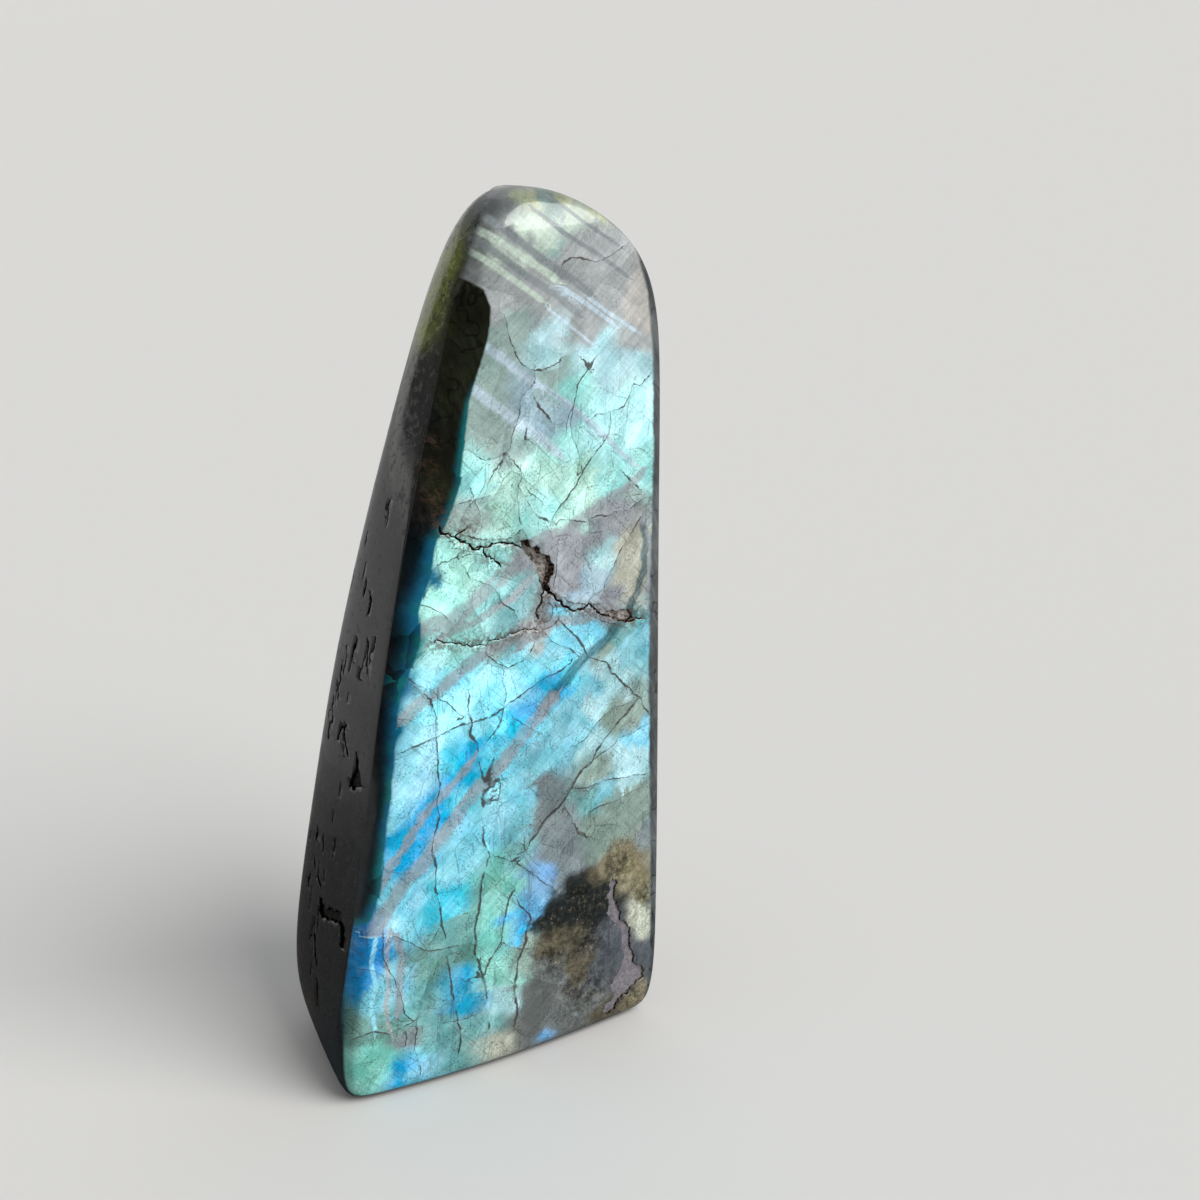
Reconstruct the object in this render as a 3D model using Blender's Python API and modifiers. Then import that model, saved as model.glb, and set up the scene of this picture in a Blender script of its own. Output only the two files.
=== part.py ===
"""A labradorite freeform: one tall polished stone that stands on a flat cut base.

Metres, +Z up. The origin is under the middle of the stone, on the surface it stands on.
-Y looks out of the broad face that flashes, and -X out of the narrow dark side.
"""
from collections import namedtuple
import random

import bmesh
import bpy
from mathutils import Vector

MM = 0.001

# One level section of the stone, in millimetres. The four corners are where the flats would meet
# if their edges weren't ground round, and bulge is how far the broad face swells forwards.
Section = namedtuple("Section", "z left right back_left back_right front back bulge")
SECTIONS = [
    Section(0.0, -22.6, 17.3, -15.1, 7.9, -10.5, 3.5, 1.0),
    Section(0.0, -25.3, 20.5, -18.1, 10.4, -13.3, 6.5, 1.6),
    Section(1.5, -27.3, 22.4, -21.3, 12.9, -15.0, 9.5, 1.8),
    Section(7.0, -27.5, 23.6, -23.5, 15.9, -14.9, 13.0, 1.9),
    Section(17.0, -25.0, 24.2, -22.5, 17.9, -14.2, 14.1, 1.7),
    Section(32.0, -21.2, 24.9, -19.3, 18.9, -13.2, 14.5, 1.5),
    Section(52.0, -17.7, 25.6, -15.5, 18.9, -12.0, 13.8, 1.4),
    Section(72.0, -13.0, 26.3, -11.0, 18.4, -10.8, 11.7, 1.3),
    Section(90.0, -7.8, 27.1, -6.8, 17.9, -9.8, 8.9, 1.2),
    Section(102.5, -3.9, 27.3, -3.5, 16.9, -9.0, 7.0, 1.0),
    Section(110.0, -1.6, 24.5, -0.7, 15.3, -8.4, 5.5, 0.8),
    Section(115.2, 1.1, 18.5, 2.3, 12.7, -7.5, 3.7, 0.5),
    Section(118.2, 5.5, 12.3, 6.1, 9.9, -5.3, 0.9, 0.2),
]
BACK_BULGE = 2.6
EDGE_RADIUS = {"front_left": 3.6, "front_right": 2.4, "back_right": 8.0, "back_left": 7.0}
LARGEST_SHARE = 0.42
EDGE_PULL = {"front_left": 0.7, "front_right": 0.35, "back_right": 0.35, "back_left": 0.35}
SUBDIVISION = 2

# The narrow side was ground flat last, so it meets the round front edge in a fairly sharp line.
FACET_CREASE = 0.95
FACET_RUNS_BETWEEN = (5.0, 112.0)

# Open cracks, as a path in millimetres, the width at the surface and the depth. A path on the front
# is in x and z, and one on the side is in y and z.
FRONT_CRACKS = {
    "main crack": (
        [(-7.9, 77.8), (-6.1, 76.1), (-5.3, 75.3), (-3.5, 74.0), (-2.2, 74.2), (-1.0, 74.5),
         (0.2, 74.4), (1.3, 74.1), (2.4, 73.7), (3.9, 73.4)], 0.85, 0.8),
    "upper spur": ([(-6.2, 76.0), (-5.4, 76.5), (-4.2, 77.1)], 0.5, 0.4),
    "side spur": ([(-3.6, 74.1), (-1.8, 72.8), (-0.7, 72.1), (0.1, 71.0)], 0.6, 0.5),
    "right crack": (
        [(6.6, 66.9), (8.0, 65.3), (9.0, 64.3), (10.1, 63.6), (12.3, 63.2), (14.3, 62.7),
         (16.8, 61.2), (18.5, 60.4), (20.4, 59.9), (22.0, 59.8)], 0.6, 0.7),
    "crystal crack": ([(6.4, 67.3), (5.9, 66.0), (5.4, 65.0), (5.3, 63.1)], 0.55, 0.5),
    "lower crack": (
        [(-9.9, 62.6), (-8.4, 62.4), (-6.0, 61.7), (-3.5, 61.4), (-1.3, 61.6), (0.5, 61.9),
         (2.1, 62.1), (3.6, 62.0), (5.2, 61.6)], 0.45, 0.45),
}
SIDE_CRACKS = {
    "side slit 1": ([(2.2, 68.0), (2.0, 65.6)], 0.6, 0.5),
    "side slit 2": ([(-0.1, 67.0), (-0.4, 63.8)], 0.7, 0.6),
    "side slit 3": ([(2.0, 60.2), (2.3, 58.4), (1.9, 56.8)], 0.8, 0.6),
    "side slit 4": ([(-1.4, 61.2), (-2.6, 59.4), (-3.9, 57.0)], 0.45, 0.4),
    "side slit 5": ([(5.8, 55.4), (5.4, 52.6), (5.0, 50.2)], 0.7, 0.5),
    "side slit 6": ([(6.6, 49.4), (6.2, 46.8), (6.4, 44.2)], 0.6, 0.5),
    "star crack": ([(2.9, 45.4), (1.7, 47.8), (0.4, 46.4), (-1.4, 44.6)], 0.6, 0.5),
    "side slit 7": ([(6.1, 32.0), (5.8, 29.8)], 0.7, 0.6),
    "side slit 8": ([(3.4, 31.8), (2.6, 29.6)], 0.7, 0.6),
    "side slit 9": ([(5.6, 28.0), (4.5, 26.2)], 0.7, 0.5),
    "side slit 10": ([(6.7, 25.0), (6.3, 22.8)], 0.6, 0.5),
    "side slit 11": ([(3.6, 26.9), (1.3, 24.8)], 0.7, 0.5),
    "side slit 12": ([(1.4, 18.6), (0.2, 16.6), (-1.4, 14.9)], 0.8, 0.6),
    "side slit 13": ([(-1.6, 13.4), (-2.6, 11.4), (-2.4, 9.6)], 0.7, 0.5),
}
END_SHARE = 0.3
WIDTH_JITTER = 0.25
SEED = 7

# Hollows, as an outline, the depth and how far the floor stands in from the rim.
FRONT_HOLLOWS = {
    "pit": (
        [(3.0, 74.3), (4.4, 74.1), (4.8, 73.1), (6.0, 72.8), (6.9, 71.7), (7.6, 70.6), (8.0, 69.6),
         (7.5, 68.6), (6.9, 67.8), (7.1, 66.2), (6.0, 66.9), (5.5, 68.8), (5.1, 70.1), (4.3, 71.4),
         (3.4, 72.8)], 1.3, 0.25),
    "right pit": (
        [(15.6, 62.1), (17.0, 62.3), (18.9, 61.9), (20.3, 61.0), (20.6, 60.1), (18.8, 59.8),
         (16.8, 60.7)], 0.6, 0.2),
    "meeting of bands": (
        [(12.4, 56.7), (13.4, 57.2), (14.3, 56.3), (15.2, 55.1), (14.1, 54.9), (13.0, 55.8)],
        0.35, 0.15),
    "unpolished hollow": (
        [(15.6, 23.2), (16.1, 21.7), (16.5, 18.5), (16.8, 16.2), (17.8, 15.4), (18.4, 13.2),
         (18.8, 9.1), (20.6, 5.9), (18.4, 5.1), (16.1, 3.9), (14.3, 1.9), (13.4, 2.5), (15.2, 4.8),
         (15.8, 8.1), (16.6, 9.6), (16.7, 12.5), (16.0, 15.4), (14.8, 19.2), (14.4, 20.7),
         (14.9, 22.5)], 0.4, 0.12),
}
SIDE_HOLLOWS = {
    "side chip": (
        [(-3.4, 46.4), (-5.2, 45.6), (-7.4, 42.9), (-5.4, 42.0), (-3.2, 40.9), (-3.6, 43.5)],
        0.55, 0.3),
    "ragged chip": (
        [(1.2, 23.8), (-1.6, 23.3), (-4.2, 24.2), (-6.6, 25.0), (-8.4, 23.9), (-8.5, 20.9),
         (-7.6, 21.0), (-7.3, 22.8), (-6.2, 23.4), (-4.2, 22.7), (-1.7, 21.9), (0.9, 22.4)],
        0.6, 0.15),
}
LIFT = 0.4
SUPPORT = 60.0
STONE_COLOUR = (0.19, 0.40, 0.43, 1.0)
STONE_ROUGHNESS = 0.12


def remove_everything():
    for old in list(bpy.data.objects):
        bpy.data.objects.remove(old)


def outline(section):
    """The section's points, counter-clockwise from the front left edge: three round each ground
    edge, and one in the middle of the broad face and of the back."""
    corners = {
        "front_left": Vector((section.left, section.front)),
        "front_right": Vector((section.right, section.front)),
        "back_right": Vector((section.back_right, section.back)),
        "back_left": Vector((section.back_left, section.back)),
    }
    swell_after = {"front_left": -section.bulge, "back_right": BACK_BULGE}
    places = list(corners.values())
    points = []
    for number, (name, corner) in enumerate(corners.items()):
        back_along = places[number - 1] - corner
        ahead = places[(number + 1) % len(places)] - corner
        start = corner + back_along.normalized() * min(EDGE_RADIUS[name], LARGEST_SHARE * back_along.length)
        end = corner + ahead.normalized() * min(EDGE_RADIUS[name], LARGEST_SHARE * ahead.length)
        points += [start, corner.lerp((start + end) / 2, EDGE_PULL[name]), end]
        if name in swell_after:
            points.append(corner + ahead / 2 + Vector((0, swell_after[name])))
    return [(point.x, point.y) for point in points]


def rough_stone():
    """A coarse loft through the sections, which Subdivision Surface then grinds smooth."""
    mesh = bmesh.new()
    crease = mesh.edges.layers.float.new("crease_edge")
    rings = [
        [mesh.verts.new((x * MM, y * MM, section.z * MM)) for x, y in outline(section)]
        for section in SECTIONS
    ]
    mesh.faces.new(reversed(rings[0]))
    for lower, upper in zip(rings, rings[1:]):
        for k, corner in enumerate(lower):
            mesh.faces.new((lower[k - 1], corner, upper[k], upper[k - 1]))
    mesh.faces.new(rings[-1])
    bmesh.ops.recalc_face_normals(mesh, faces=mesh.faces)
    lowest, highest = FACET_RUNS_BETWEEN
    for lower, upper in zip(rings, rings[1:]):
        if lowest * MM < lower[0].co.z and upper[0].co.z < highest * MM:
            mesh.edges.get((lower[0], upper[0]))[crease] = FACET_CREASE
    data = bpy.data.meshes.new("stone")
    mesh.to_mesh(data)
    mesh.free()
    return data


def on_front(stone, place):
    """Where a point of the front, given by x and z in millimetres, lies on the stone, and its normal."""
    x, z = place
    _, spot, normal, _ = stone.ray_cast(Vector((x, -SUPPORT, z)) * MM, Vector((0, 1, 0)))
    return spot, normal


def on_side(stone, place):
    """The same for the narrow side, by y and z."""
    y, z = place
    _, spot, normal, _ = stone.ray_cast(Vector((-SUPPORT, y, z)) * MM, Vector((1, 0, 0)))
    return spot, normal


def closed_loft(name, rings):
    """A closed cutter through rings of equally many points."""
    mesh = bmesh.new()
    loops = [[mesh.verts.new(point) for point in ring] for ring in rings]
    for lower, upper in zip(loops, loops[1:]):
        for k, corner in enumerate(lower):
            mesh.faces.new((lower[k - 1], corner, upper[k], upper[k - 1]))
    caps = [mesh.faces.new(loops[0]), mesh.faces.new(loops[-1])]
    bmesh.ops.triangulate(mesh, faces=caps, ngon_method="EAR_CLIP")
    bmesh.ops.recalc_face_normals(mesh, faces=mesh.faces)
    data = bpy.data.meshes.new(name)
    mesh.to_mesh(data)
    mesh.free()
    return bpy.data.objects.new(name, data)


def crack_cutter(name, path, width, depth, place_on, stone, dice):
    """A wedge that runs along the path on the surface, narrow at its two ends."""
    spots = [place_on(stone, place) for place in path]
    rings = []
    for number, (spot, normal) in enumerate(spots):
        behind = spots[max(number - 1, 0)][0]
        ahead = spots[min(number + 1, len(spots) - 1)][0]
        across = normal.cross(ahead - behind).normalized()
        share = END_SHARE if number in (0, len(spots) - 1) else 1.0
        share *= 1 + dice.uniform(-WIDTH_JITTER, WIDTH_JITTER)
        reach = across * share * width / 2 * (depth + LIFT) / depth * MM
        top = spot + normal * LIFT * MM
        rings.append([top - reach, top + reach, spot - normal * share * depth * MM])
    return closed_loft(name, rings)


def hollow_cutter(name, rim, depth, floor_inset, place_on, stone):
    """A shallow well with the rim's outline, whose floor stands in a little all round."""
    flat = [Vector(place) for place in rim]
    turn = sum(a.x * b.y - a.y * b.x for a, b in zip(flat, flat[1:] + flat[:1]))
    inwards = 1 if turn > 0 else -1
    top, bottom = [], []
    for number, place in enumerate(flat):
        along = (flat[(number + 1) % len(flat)] - flat[number - 1]).normalized()
        inner = place + Vector((-along.y, along.x)) * inwards * floor_inset
        spot, normal = place_on(stone, place)
        top.append(spot + normal * LIFT * MM)
        spot, normal = place_on(stone, inner)
        bottom.append(spot - normal * depth * MM)
    return closed_loft(name, [top, bottom])


def polished_labradorite():
    material = bpy.data.materials.new("polished labradorite")
    material.use_nodes = True
    shader = material.node_tree.nodes["Principled BSDF"]
    shader.inputs["Base Color"].default_value = STONE_COLOUR
    shader.inputs["Roughness"].default_value = STONE_ROUGHNESS
    shader.inputs["Metallic"].default_value = 0.0
    return material


def centre_over_origin(stone):
    """Moves the coarse mesh so that the smooth stone's footprint is centred on the origin."""
    ground = stone.evaluated_get(bpy.context.evaluated_depsgraph_get())
    for axis in (0, 1):
        places = [vertex.co[axis] for vertex in ground.data.vertices]
        middle = (min(places) + max(places)) / 2
        for vertex in stone.data.vertices:
            vertex.co[axis] -= middle
    stone.data.update()


def main():
    remove_everything()
    model = bpy.data.collections.new("labradorite freeform")
    tools = bpy.data.collections.new("crack and chip cutters")
    bpy.context.scene.collection.children.link(model)
    bpy.context.scene.collection.children.link(tools)

    stone = bpy.data.objects.new("stone", rough_stone())
    model.objects.link(stone)
    stone.data.materials.append(polished_labradorite())
    smooth = stone.modifiers.new("ground smooth", "SUBSURF")
    smooth.levels = SUBDIVISION
    smooth.render_levels = SUBDIVISION
    stone.data.shade_smooth()
    centre_over_origin(stone)

    ground = stone.evaluated_get(bpy.context.evaluated_depsgraph_get())
    dice = random.Random(SEED)
    cutters = []
    for cracks, place_on in ((FRONT_CRACKS, on_front), (SIDE_CRACKS, on_side)):
        for name, (path, width, depth) in cracks.items():
            cutters.append(crack_cutter(name, path, width, depth, place_on, ground, dice))
    for hollows, place_on in ((FRONT_HOLLOWS, on_front), (SIDE_HOLLOWS, on_side)):
        for name, (rim, depth, floor_inset) in hollows.items():
            cutters.append(hollow_cutter(name, rim, depth, floor_inset, place_on, ground))
    for cutter in cutters:
        tools.objects.link(cutter)
        cutter.hide_render = True
        cutter.display_type = "WIRE"
        cut = stone.modifiers.new(cutter.name, "BOOLEAN")
        cut.operation = "DIFFERENCE"
        cut.object = cutter


main()
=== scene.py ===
# %% [markdown]
# # A polished labradorite freeform
#
# This notebook dresses one stone: a tall lump of feldspar, ground to a smooth shape, polished and
# cut flat underneath. Its broad face flashes blue, green and gold, because thin layers inside the
# crystal split the light, and its narrow side stays almost black.
#
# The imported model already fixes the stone's size and place. Everything here is in metres, with +Z up
# and the flash facing -Y, and the patterns are written in millimetres of x and z on that face.

# %% Load the frame
import math
import random

import bmesh
import bpy
import numpy as np
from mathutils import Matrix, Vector, noise
from mathutils.kdtree import KDTree


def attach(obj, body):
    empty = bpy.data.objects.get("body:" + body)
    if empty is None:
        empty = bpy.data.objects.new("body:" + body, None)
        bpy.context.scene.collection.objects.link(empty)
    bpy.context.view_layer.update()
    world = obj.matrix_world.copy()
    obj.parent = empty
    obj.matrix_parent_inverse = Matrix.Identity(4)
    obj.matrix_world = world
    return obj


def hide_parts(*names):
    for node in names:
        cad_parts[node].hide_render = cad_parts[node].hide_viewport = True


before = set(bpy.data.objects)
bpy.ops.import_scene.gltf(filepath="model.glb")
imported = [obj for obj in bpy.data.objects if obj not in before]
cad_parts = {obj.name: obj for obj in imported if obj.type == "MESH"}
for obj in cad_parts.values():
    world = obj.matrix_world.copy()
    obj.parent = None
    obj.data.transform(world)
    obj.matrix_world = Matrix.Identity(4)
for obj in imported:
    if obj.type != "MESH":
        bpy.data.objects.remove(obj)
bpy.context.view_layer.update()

MM = 0.001

# %% [markdown]
# ## The camera
#
# The camera stands close to the stone and a little to its left, and looks down on it by twenty
# degrees, so upright lines draw together towards the floor. Its place is given in metres and its turn
# by two angles, because those are what a photographer would set.

# %% Place the camera
CAMERA_PLACE = Vector((-0.1184, -0.2253, 0.1555))
CAMERA_YAW = math.radians(32)
CAMERA_PITCH = math.radians(20)
CAMERA_LENS = 60
SENSOR_WIDTH = 36
STONE_MIDDLE = Vector((0, 0, 0.06))

camera_data = bpy.data.cameras.new("camera")
camera_data.lens = CAMERA_LENS
camera_data.sensor_width = SENSOR_WIDTH
camera = bpy.data.objects.new("camera", camera_data)
camera.location = CAMERA_PLACE
camera.rotation_euler = (math.radians(90) - CAMERA_PITCH, 0, -CAMERA_YAW)
bpy.context.scene.collection.objects.link(camera)
bpy.context.scene.camera = camera
print("the camera stands", round((CAMERA_PLACE - STONE_MIDDLE).length, 3), "m from the stone")

# %% [markdown]
# ## The floor
#
# A polished stone is a mirror as well, so what stands round it matters. The floor is one pale sheet
# that curves up at its rim, as a paper sweep does in a studio, so that no edge or corner shows in
# the polish. It starts as a filled circle, whose rim is extruded outwards and upwards.

# %% Make the floor
def deselect_all():
    bpy.ops.object.select_all(action="DESELECT")


def edit_edges():
    """Goes into edit mode for edges, with none of them selected."""
    bpy.ops.object.mode_set(mode="EDIT")
    bpy.ops.mesh.select_mode(type="EDGE")
    bpy.ops.mesh.select_all(action="DESELECT")


def turn_faces_and_leave(inside=False):
    """Turns every face outwards, or inwards, and leaves edit mode."""
    bpy.ops.mesh.select_all(action="SELECT")
    bpy.ops.mesh.normals_make_consistent(inside=inside)
    bpy.ops.object.mode_set(mode="OBJECT")


def simple_material(name, colour, roughness, specular=0.5):
    material = bpy.data.materials.new(name)
    material.use_nodes = True
    shader = material.node_tree.nodes["Principled BSDF"]
    shader.inputs["Base Color"].default_value = colour
    shader.inputs["Roughness"].default_value = roughness
    shader.inputs["Specular IOR Level"].default_value = specular
    return material


FLOOR_RADIUS = 3.0
FLOOR_COLOUR = (0.74, 0.735, 0.72, 1)
RIM_STEPS = [(1.25, 0), (1.18, 0.08), (1.1, 0.3), (1.04, 0.75)]
CIRCLE_POINTS = 64

deselect_all()
bpy.ops.mesh.primitive_circle_add(vertices=CIRCLE_POINTS, radius=FLOOR_RADIUS, fill_type="TRIFAN")
floor = bpy.context.active_object
floor.name = "floor"
edit_edges()
bpy.ops.mesh.select_non_manifold()
for widen, rise in RIM_STEPS:
    bpy.ops.mesh.extrude_edges_move()
    bpy.ops.transform.resize(value=(widen, widen, 1))
    bpy.ops.transform.translate(value=(0, 0, rise))
turn_faces_and_leave(inside=True)
bpy.ops.object.shade_smooth()
floor.data.materials.append(simple_material("pale floor", FLOOR_COLOUR, 0.8, specular=0))
print("the floor is", round(floor.dimensions.x, 1), "m across")

# %% [markdown]
# ## The light
#
# The main light is a soft window on the right of the camera, a little behind it. It makes the flash
# show and throws the shadow to the left and back. A weak fill and the ceiling keep the back readable.
# Dark cards stand where a room would be unlit, and grey cloths lie round the stone. Only the polish
# sees these: they keep its black side deep, and the floor stays pale.

# %% Hang the lights
def soft_sun(name, height, side, strength, spread, colour):
    """A light so far off that the whole floor gets the same of it. The angles are in degrees: how high
    it stands, and which way round from behind the stone, clockwise."""
    data = bpy.data.lights.new(name, "SUN")
    data.energy = strength
    data.angle = math.radians(spread)
    data.color = colour
    lamp = bpy.data.objects.new(name, data)
    lamp.rotation_euler = (math.radians(height - 90), 0, math.radians(-side))
    bpy.context.scene.collection.objects.link(lamp)


soft_sun("window", 43, 150, 2.45, 48, (1.0, 0.99, 0.975))
soft_sun("back fill", 37, 40, 0.3, 60, (1.0, 1.0, 1.0))
soft_sun("ceiling", 75, 20, 0.26, 130, (1.0, 1.0, 1.0))

ROOM_COLOUR = (0.9, 0.92, 0.94, 1)
ROOM_STRENGTH = 0.29

world = bpy.data.worlds.new("pale room")
world.use_nodes = True
background = world.node_tree.nodes["Background"]
background.inputs["Color"].default_value = ROOM_COLOUR
background.inputs["Strength"].default_value = ROOM_STRENGTH
bpy.context.scene.world = world
bpy.context.scene.view_settings.view_transform = "Standard"

CARD_SIZE = 0.42
CARD_DISTANCE = 0.37
CARD_HEIGHT = 0.19
CARD_TURNS = (16, 74)
CARD_GREY = 0.02
SIDE_CARD_PLACE = (-0.42, 0.46, 0.34)
SIDE_CARD_TURN = 138
SIDE_CARD_SIZE = 0.58
SIDE_CARD_GREY = 0.12
CLOTHS = [("wide cloth", (0, 0, 0.0004), 0.9, 0.42),
          ("near cloth", (0, 0, 0.0005), 0.24, 0.34),
          ("dark cloth", (-0.13, -0.29, 0.0006), 0.32, 0.1),
          # The three shade cloths, darker towards the middle, are a painted shadow: the polish mirrors them
          # in place of the shaded floor beside the stone.
          ("light shade", (-0.055, 0.03, 0.0007), 0.105, 0.25),
          ("half shade", (-0.055, 0.03, 0.0008), 0.085, 0.18),
          ("shade", (-0.055, 0.03, 0.0009), 0.064, 0.12)]


def seen_by_the_polish_only(name, grey):
    """Names and paints what was just added, and hides it from all but the polish."""
    piece = bpy.context.active_object
    piece.name = name
    piece.data.materials.append(simple_material(name + " cloth", (grey, grey, grey, 1), 0.9))
    piece.visible_camera = False
    piece.visible_diffuse = False
    piece.visible_shadow = False


def stand_card(name, size, place, turn, grey):
    deselect_all()
    bpy.ops.mesh.primitive_plane_add(size=size, location=place, rotation=(math.radians(90), 0, -turn))
    seen_by_the_polish_only(name, grey)


for turn in CARD_TURNS:
    angle = math.radians(turn)
    place = (-CARD_DISTANCE * math.sin(angle), -CARD_DISTANCE * math.cos(angle), CARD_HEIGHT)
    stand_card(f"dark card {turn}", CARD_SIZE, place, angle, CARD_GREY)
stand_card("side card", SIDE_CARD_SIZE, SIDE_CARD_PLACE, math.radians(SIDE_CARD_TURN), SIDE_CARD_GREY)
for name, place, radius, grey in CLOTHS:
    deselect_all()
    bpy.ops.mesh.primitive_circle_add(vertices=CIRCLE_POINTS, radius=radius, fill_type="NGON",
                                      location=place)
    seen_by_the_polish_only(name, grey)

# %% [markdown]
# ## The stone's form
#
# Such a stone is ground freehand from one lump, so it has broad flats, round edges and no straight
# lines. It could be sculpted, but a loft through level outlines keeps the form that the solid has.
# A circle is added at the base and its points are moved to the first outline. Then the ring is
# extruded up from outline to outline, like a potter's coils. The cutters of the cracks are made with
# the same function later.

# %% Extrude the rings
# z, left, right, back left, back right, front, back and the swelling of the broad face
OUTLINES = [
    (0.0, -22.6, 17.3, -15.1, 7.9, -10.5, 3.5, 1.0),
    (0.0, -25.3, 20.5, -18.1, 10.4, -13.3, 6.5, 1.6),
    (1.5, -27.3, 22.4, -21.3, 12.9, -15.0, 9.5, 1.8),
    (7.0, -27.5, 23.6, -23.5, 15.9, -14.9, 13.0, 1.9),
    (17.0, -25.0, 24.2, -22.5, 17.9, -14.2, 14.1, 1.7),
    (32.0, -21.2, 24.9, -19.3, 18.9, -13.2, 14.5, 1.5),
    (52.0, -17.7, 25.6, -15.5, 18.9, -12.0, 13.8, 1.4),
    (72.0, -13.0, 26.3, -11.0, 18.4, -10.8, 11.7, 1.3),
    (90.0, -7.8, 27.1, -6.8, 17.9, -9.8, 8.9, 1.2),
    (102.5, -3.9, 27.3, -3.5, 16.9, -9.0, 7.0, 1.0),
    (110.0, -1.6, 24.5, -0.7, 15.3, -8.4, 5.5, 0.8),
    (115.2, 1.1, 18.5, 2.3, 12.7, -7.5, 3.7, 0.5),
    (118.2, 5.5, 12.3, 6.1, 9.9, -5.3, 0.9, 0.2),
]
BACK_BULGE = 2.6
EDGE_RADII = (3.2, 2.4, 8.0, 7.0)
LARGEST_SHARE = 0.42
EDGE_PULLS = (0.7, 0.35, 0.35, 0.35)


def ring_places(z, left, right, back_left, back_right, front, back, bulge):
    """Fourteen points, counter-clockwise from above: three round each ground edge, and one in the
    middle of the broad face and of the back."""
    corners = [Vector((left, front, z)), Vector((right, front, z)),
               Vector((back_right, back, z)), Vector((back_left, back, z))]
    swells = (-bulge, None, BACK_BULGE, None)
    places = []
    for number, corner in enumerate(corners):
        behind = corners[number - 1] - corner
        ahead = corners[(number + 1) % 4] - corner
        start = corner + behind.normalized() * min(EDGE_RADII[number], LARGEST_SHARE * behind.length)
        end = corner + ahead.normalized() * min(EDGE_RADII[number], LARGEST_SHARE * ahead.length)
        places += [start, corner.lerp((start + end) / 2, EDGE_PULLS[number]), end]
        if swells[number] is not None:
            places.append(corner + ahead / 2 + Vector((0, swells[number], 0)))
    return [place * MM for place in places]


def nearest(place, places):
    return min(range(len(places)), key=lambda number: (places[number] - place).length)


def move_ring(piece, places, from_places):
    """Moves each selected point of a ring from its old place to the new place of the same number."""
    mesh = bmesh.from_edit_mesh(piece.data)
    for vertex in [vertex for vertex in mesh.verts if vertex.select]:
        vertex.co = places[nearest(vertex.co, from_places)]
    bmesh.update_edit_mesh(piece.data)


def loft(name, ring_list, in_triangles=False):
    """A closed shape, extruded from one ring of points to the next."""
    deselect_all()
    bpy.ops.mesh.primitive_circle_add(vertices=len(ring_list[0]), radius=MM, fill_type="NGON")
    shape = bpy.context.active_object
    shape.name = name
    for vertex, place in zip(shape.data.vertices, ring_list[0]):
        vertex.co = place
    bpy.ops.object.mode_set(mode="EDIT")
    for lower, upper in zip(ring_list, ring_list[1:]):
        bpy.ops.mesh.extrude_region_move()
        move_ring(shape, upper, lower)
    if in_triangles:
        bpy.ops.mesh.select_all(action="SELECT")
        bpy.ops.mesh.quads_convert_to_tris(ngon_method="CLIP")
    turn_faces_and_leave()
    return shape


rings = [ring_places(*outline) for outline in OUTLINES]
stone = loft("polished_stone", rings)
print("the coarse cage has", len(stone.data.polygons), "faces")

# %% [markdown]
# ## Grinding it smooth
#
# Subdivision Surface rounds the cage, as grinding rounds the lump. The narrow side was ground last,
# so it meets the round front edge in a fairly sharp line, which is a crease here. The subdivision
# makes far more lines than the narrow round edges need. Each face of the cage gets its column and
# row as UV coordinates first, so the lines can be told apart later and thinned where they crowd.

# %% Crease one line and subdivide
FACET_CREASE = 0.95
FACET_RUNS_BETWEEN = (5.0 * MM, 112.0 * MM)
LEVELS = 5
SAME_PLACE = 1e-6

facet_line = [ring[0] for ring in rings]
lowest, highest = FACET_RUNS_BETWEEN
edit_edges()
mesh = bmesh.from_edit_mesh(stone.data)
for edge in mesh.edges:
    heights = sorted(vertex.co.z for vertex in edge.verts)
    gaps = [min((vertex.co - spot).length for spot in facet_line) for vertex in edge.verts]
    on_line = max(gaps) < SAME_PLACE
    edge.select = on_line and heights[0] > lowest and heights[1] < highest
bmesh.update_edit_mesh(stone.data)
bpy.ops.transform.edge_crease(value=FACET_CREASE)
bpy.ops.object.mode_set(mode="OBJECT")

grid = stone.data.uv_layers.new(name="lines")
last_column = len(rings[0]) - 1
numbers = {}
for row, ring in enumerate(rings):
    for vertex in stone.data.vertices:
        column = nearest(vertex.co, ring)
        if (ring[column] - vertex.co).length < SAME_PLACE:
            numbers[vertex.index] = (column, row)
for face in stone.data.polygons:
    columns = [numbers[index][0] for index in face.vertices]
    for loop in face.loop_indices:
        column, row = numbers[stone.data.loops[loop].vertex_index]
        if len(columns) > 4:
            column = row = -1
        elif column == 0 and max(columns) == last_column:
            column = last_column + 1
        grid.data[loop].uv = (column, row)

smooth = stone.modifiers.new("ground smooth", "SUBSURF")
smooth.levels = smooth.render_levels = LEVELS
smooth.uv_smooth = "NONE"
bpy.context.view_layer.objects.active = stone
bpy.ops.object.modifier_apply(modifier=smooth.name)
print("ground smooth:", len(stone.data.polygons), "faces")

# %% Thin the crowded lines
LINES_PER_CELL = 2 ** LEVELS
KEEP_EVERY_COLUMN = [1, 4, 4, 1, 1, 8, 8, 2, 4, 4, 2, 2, 4, 4]
KEEP_EVERY_ROW = [8, 8, 4, 2, 1, 1, 1, 1, 1, 2, 2, 4]


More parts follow.
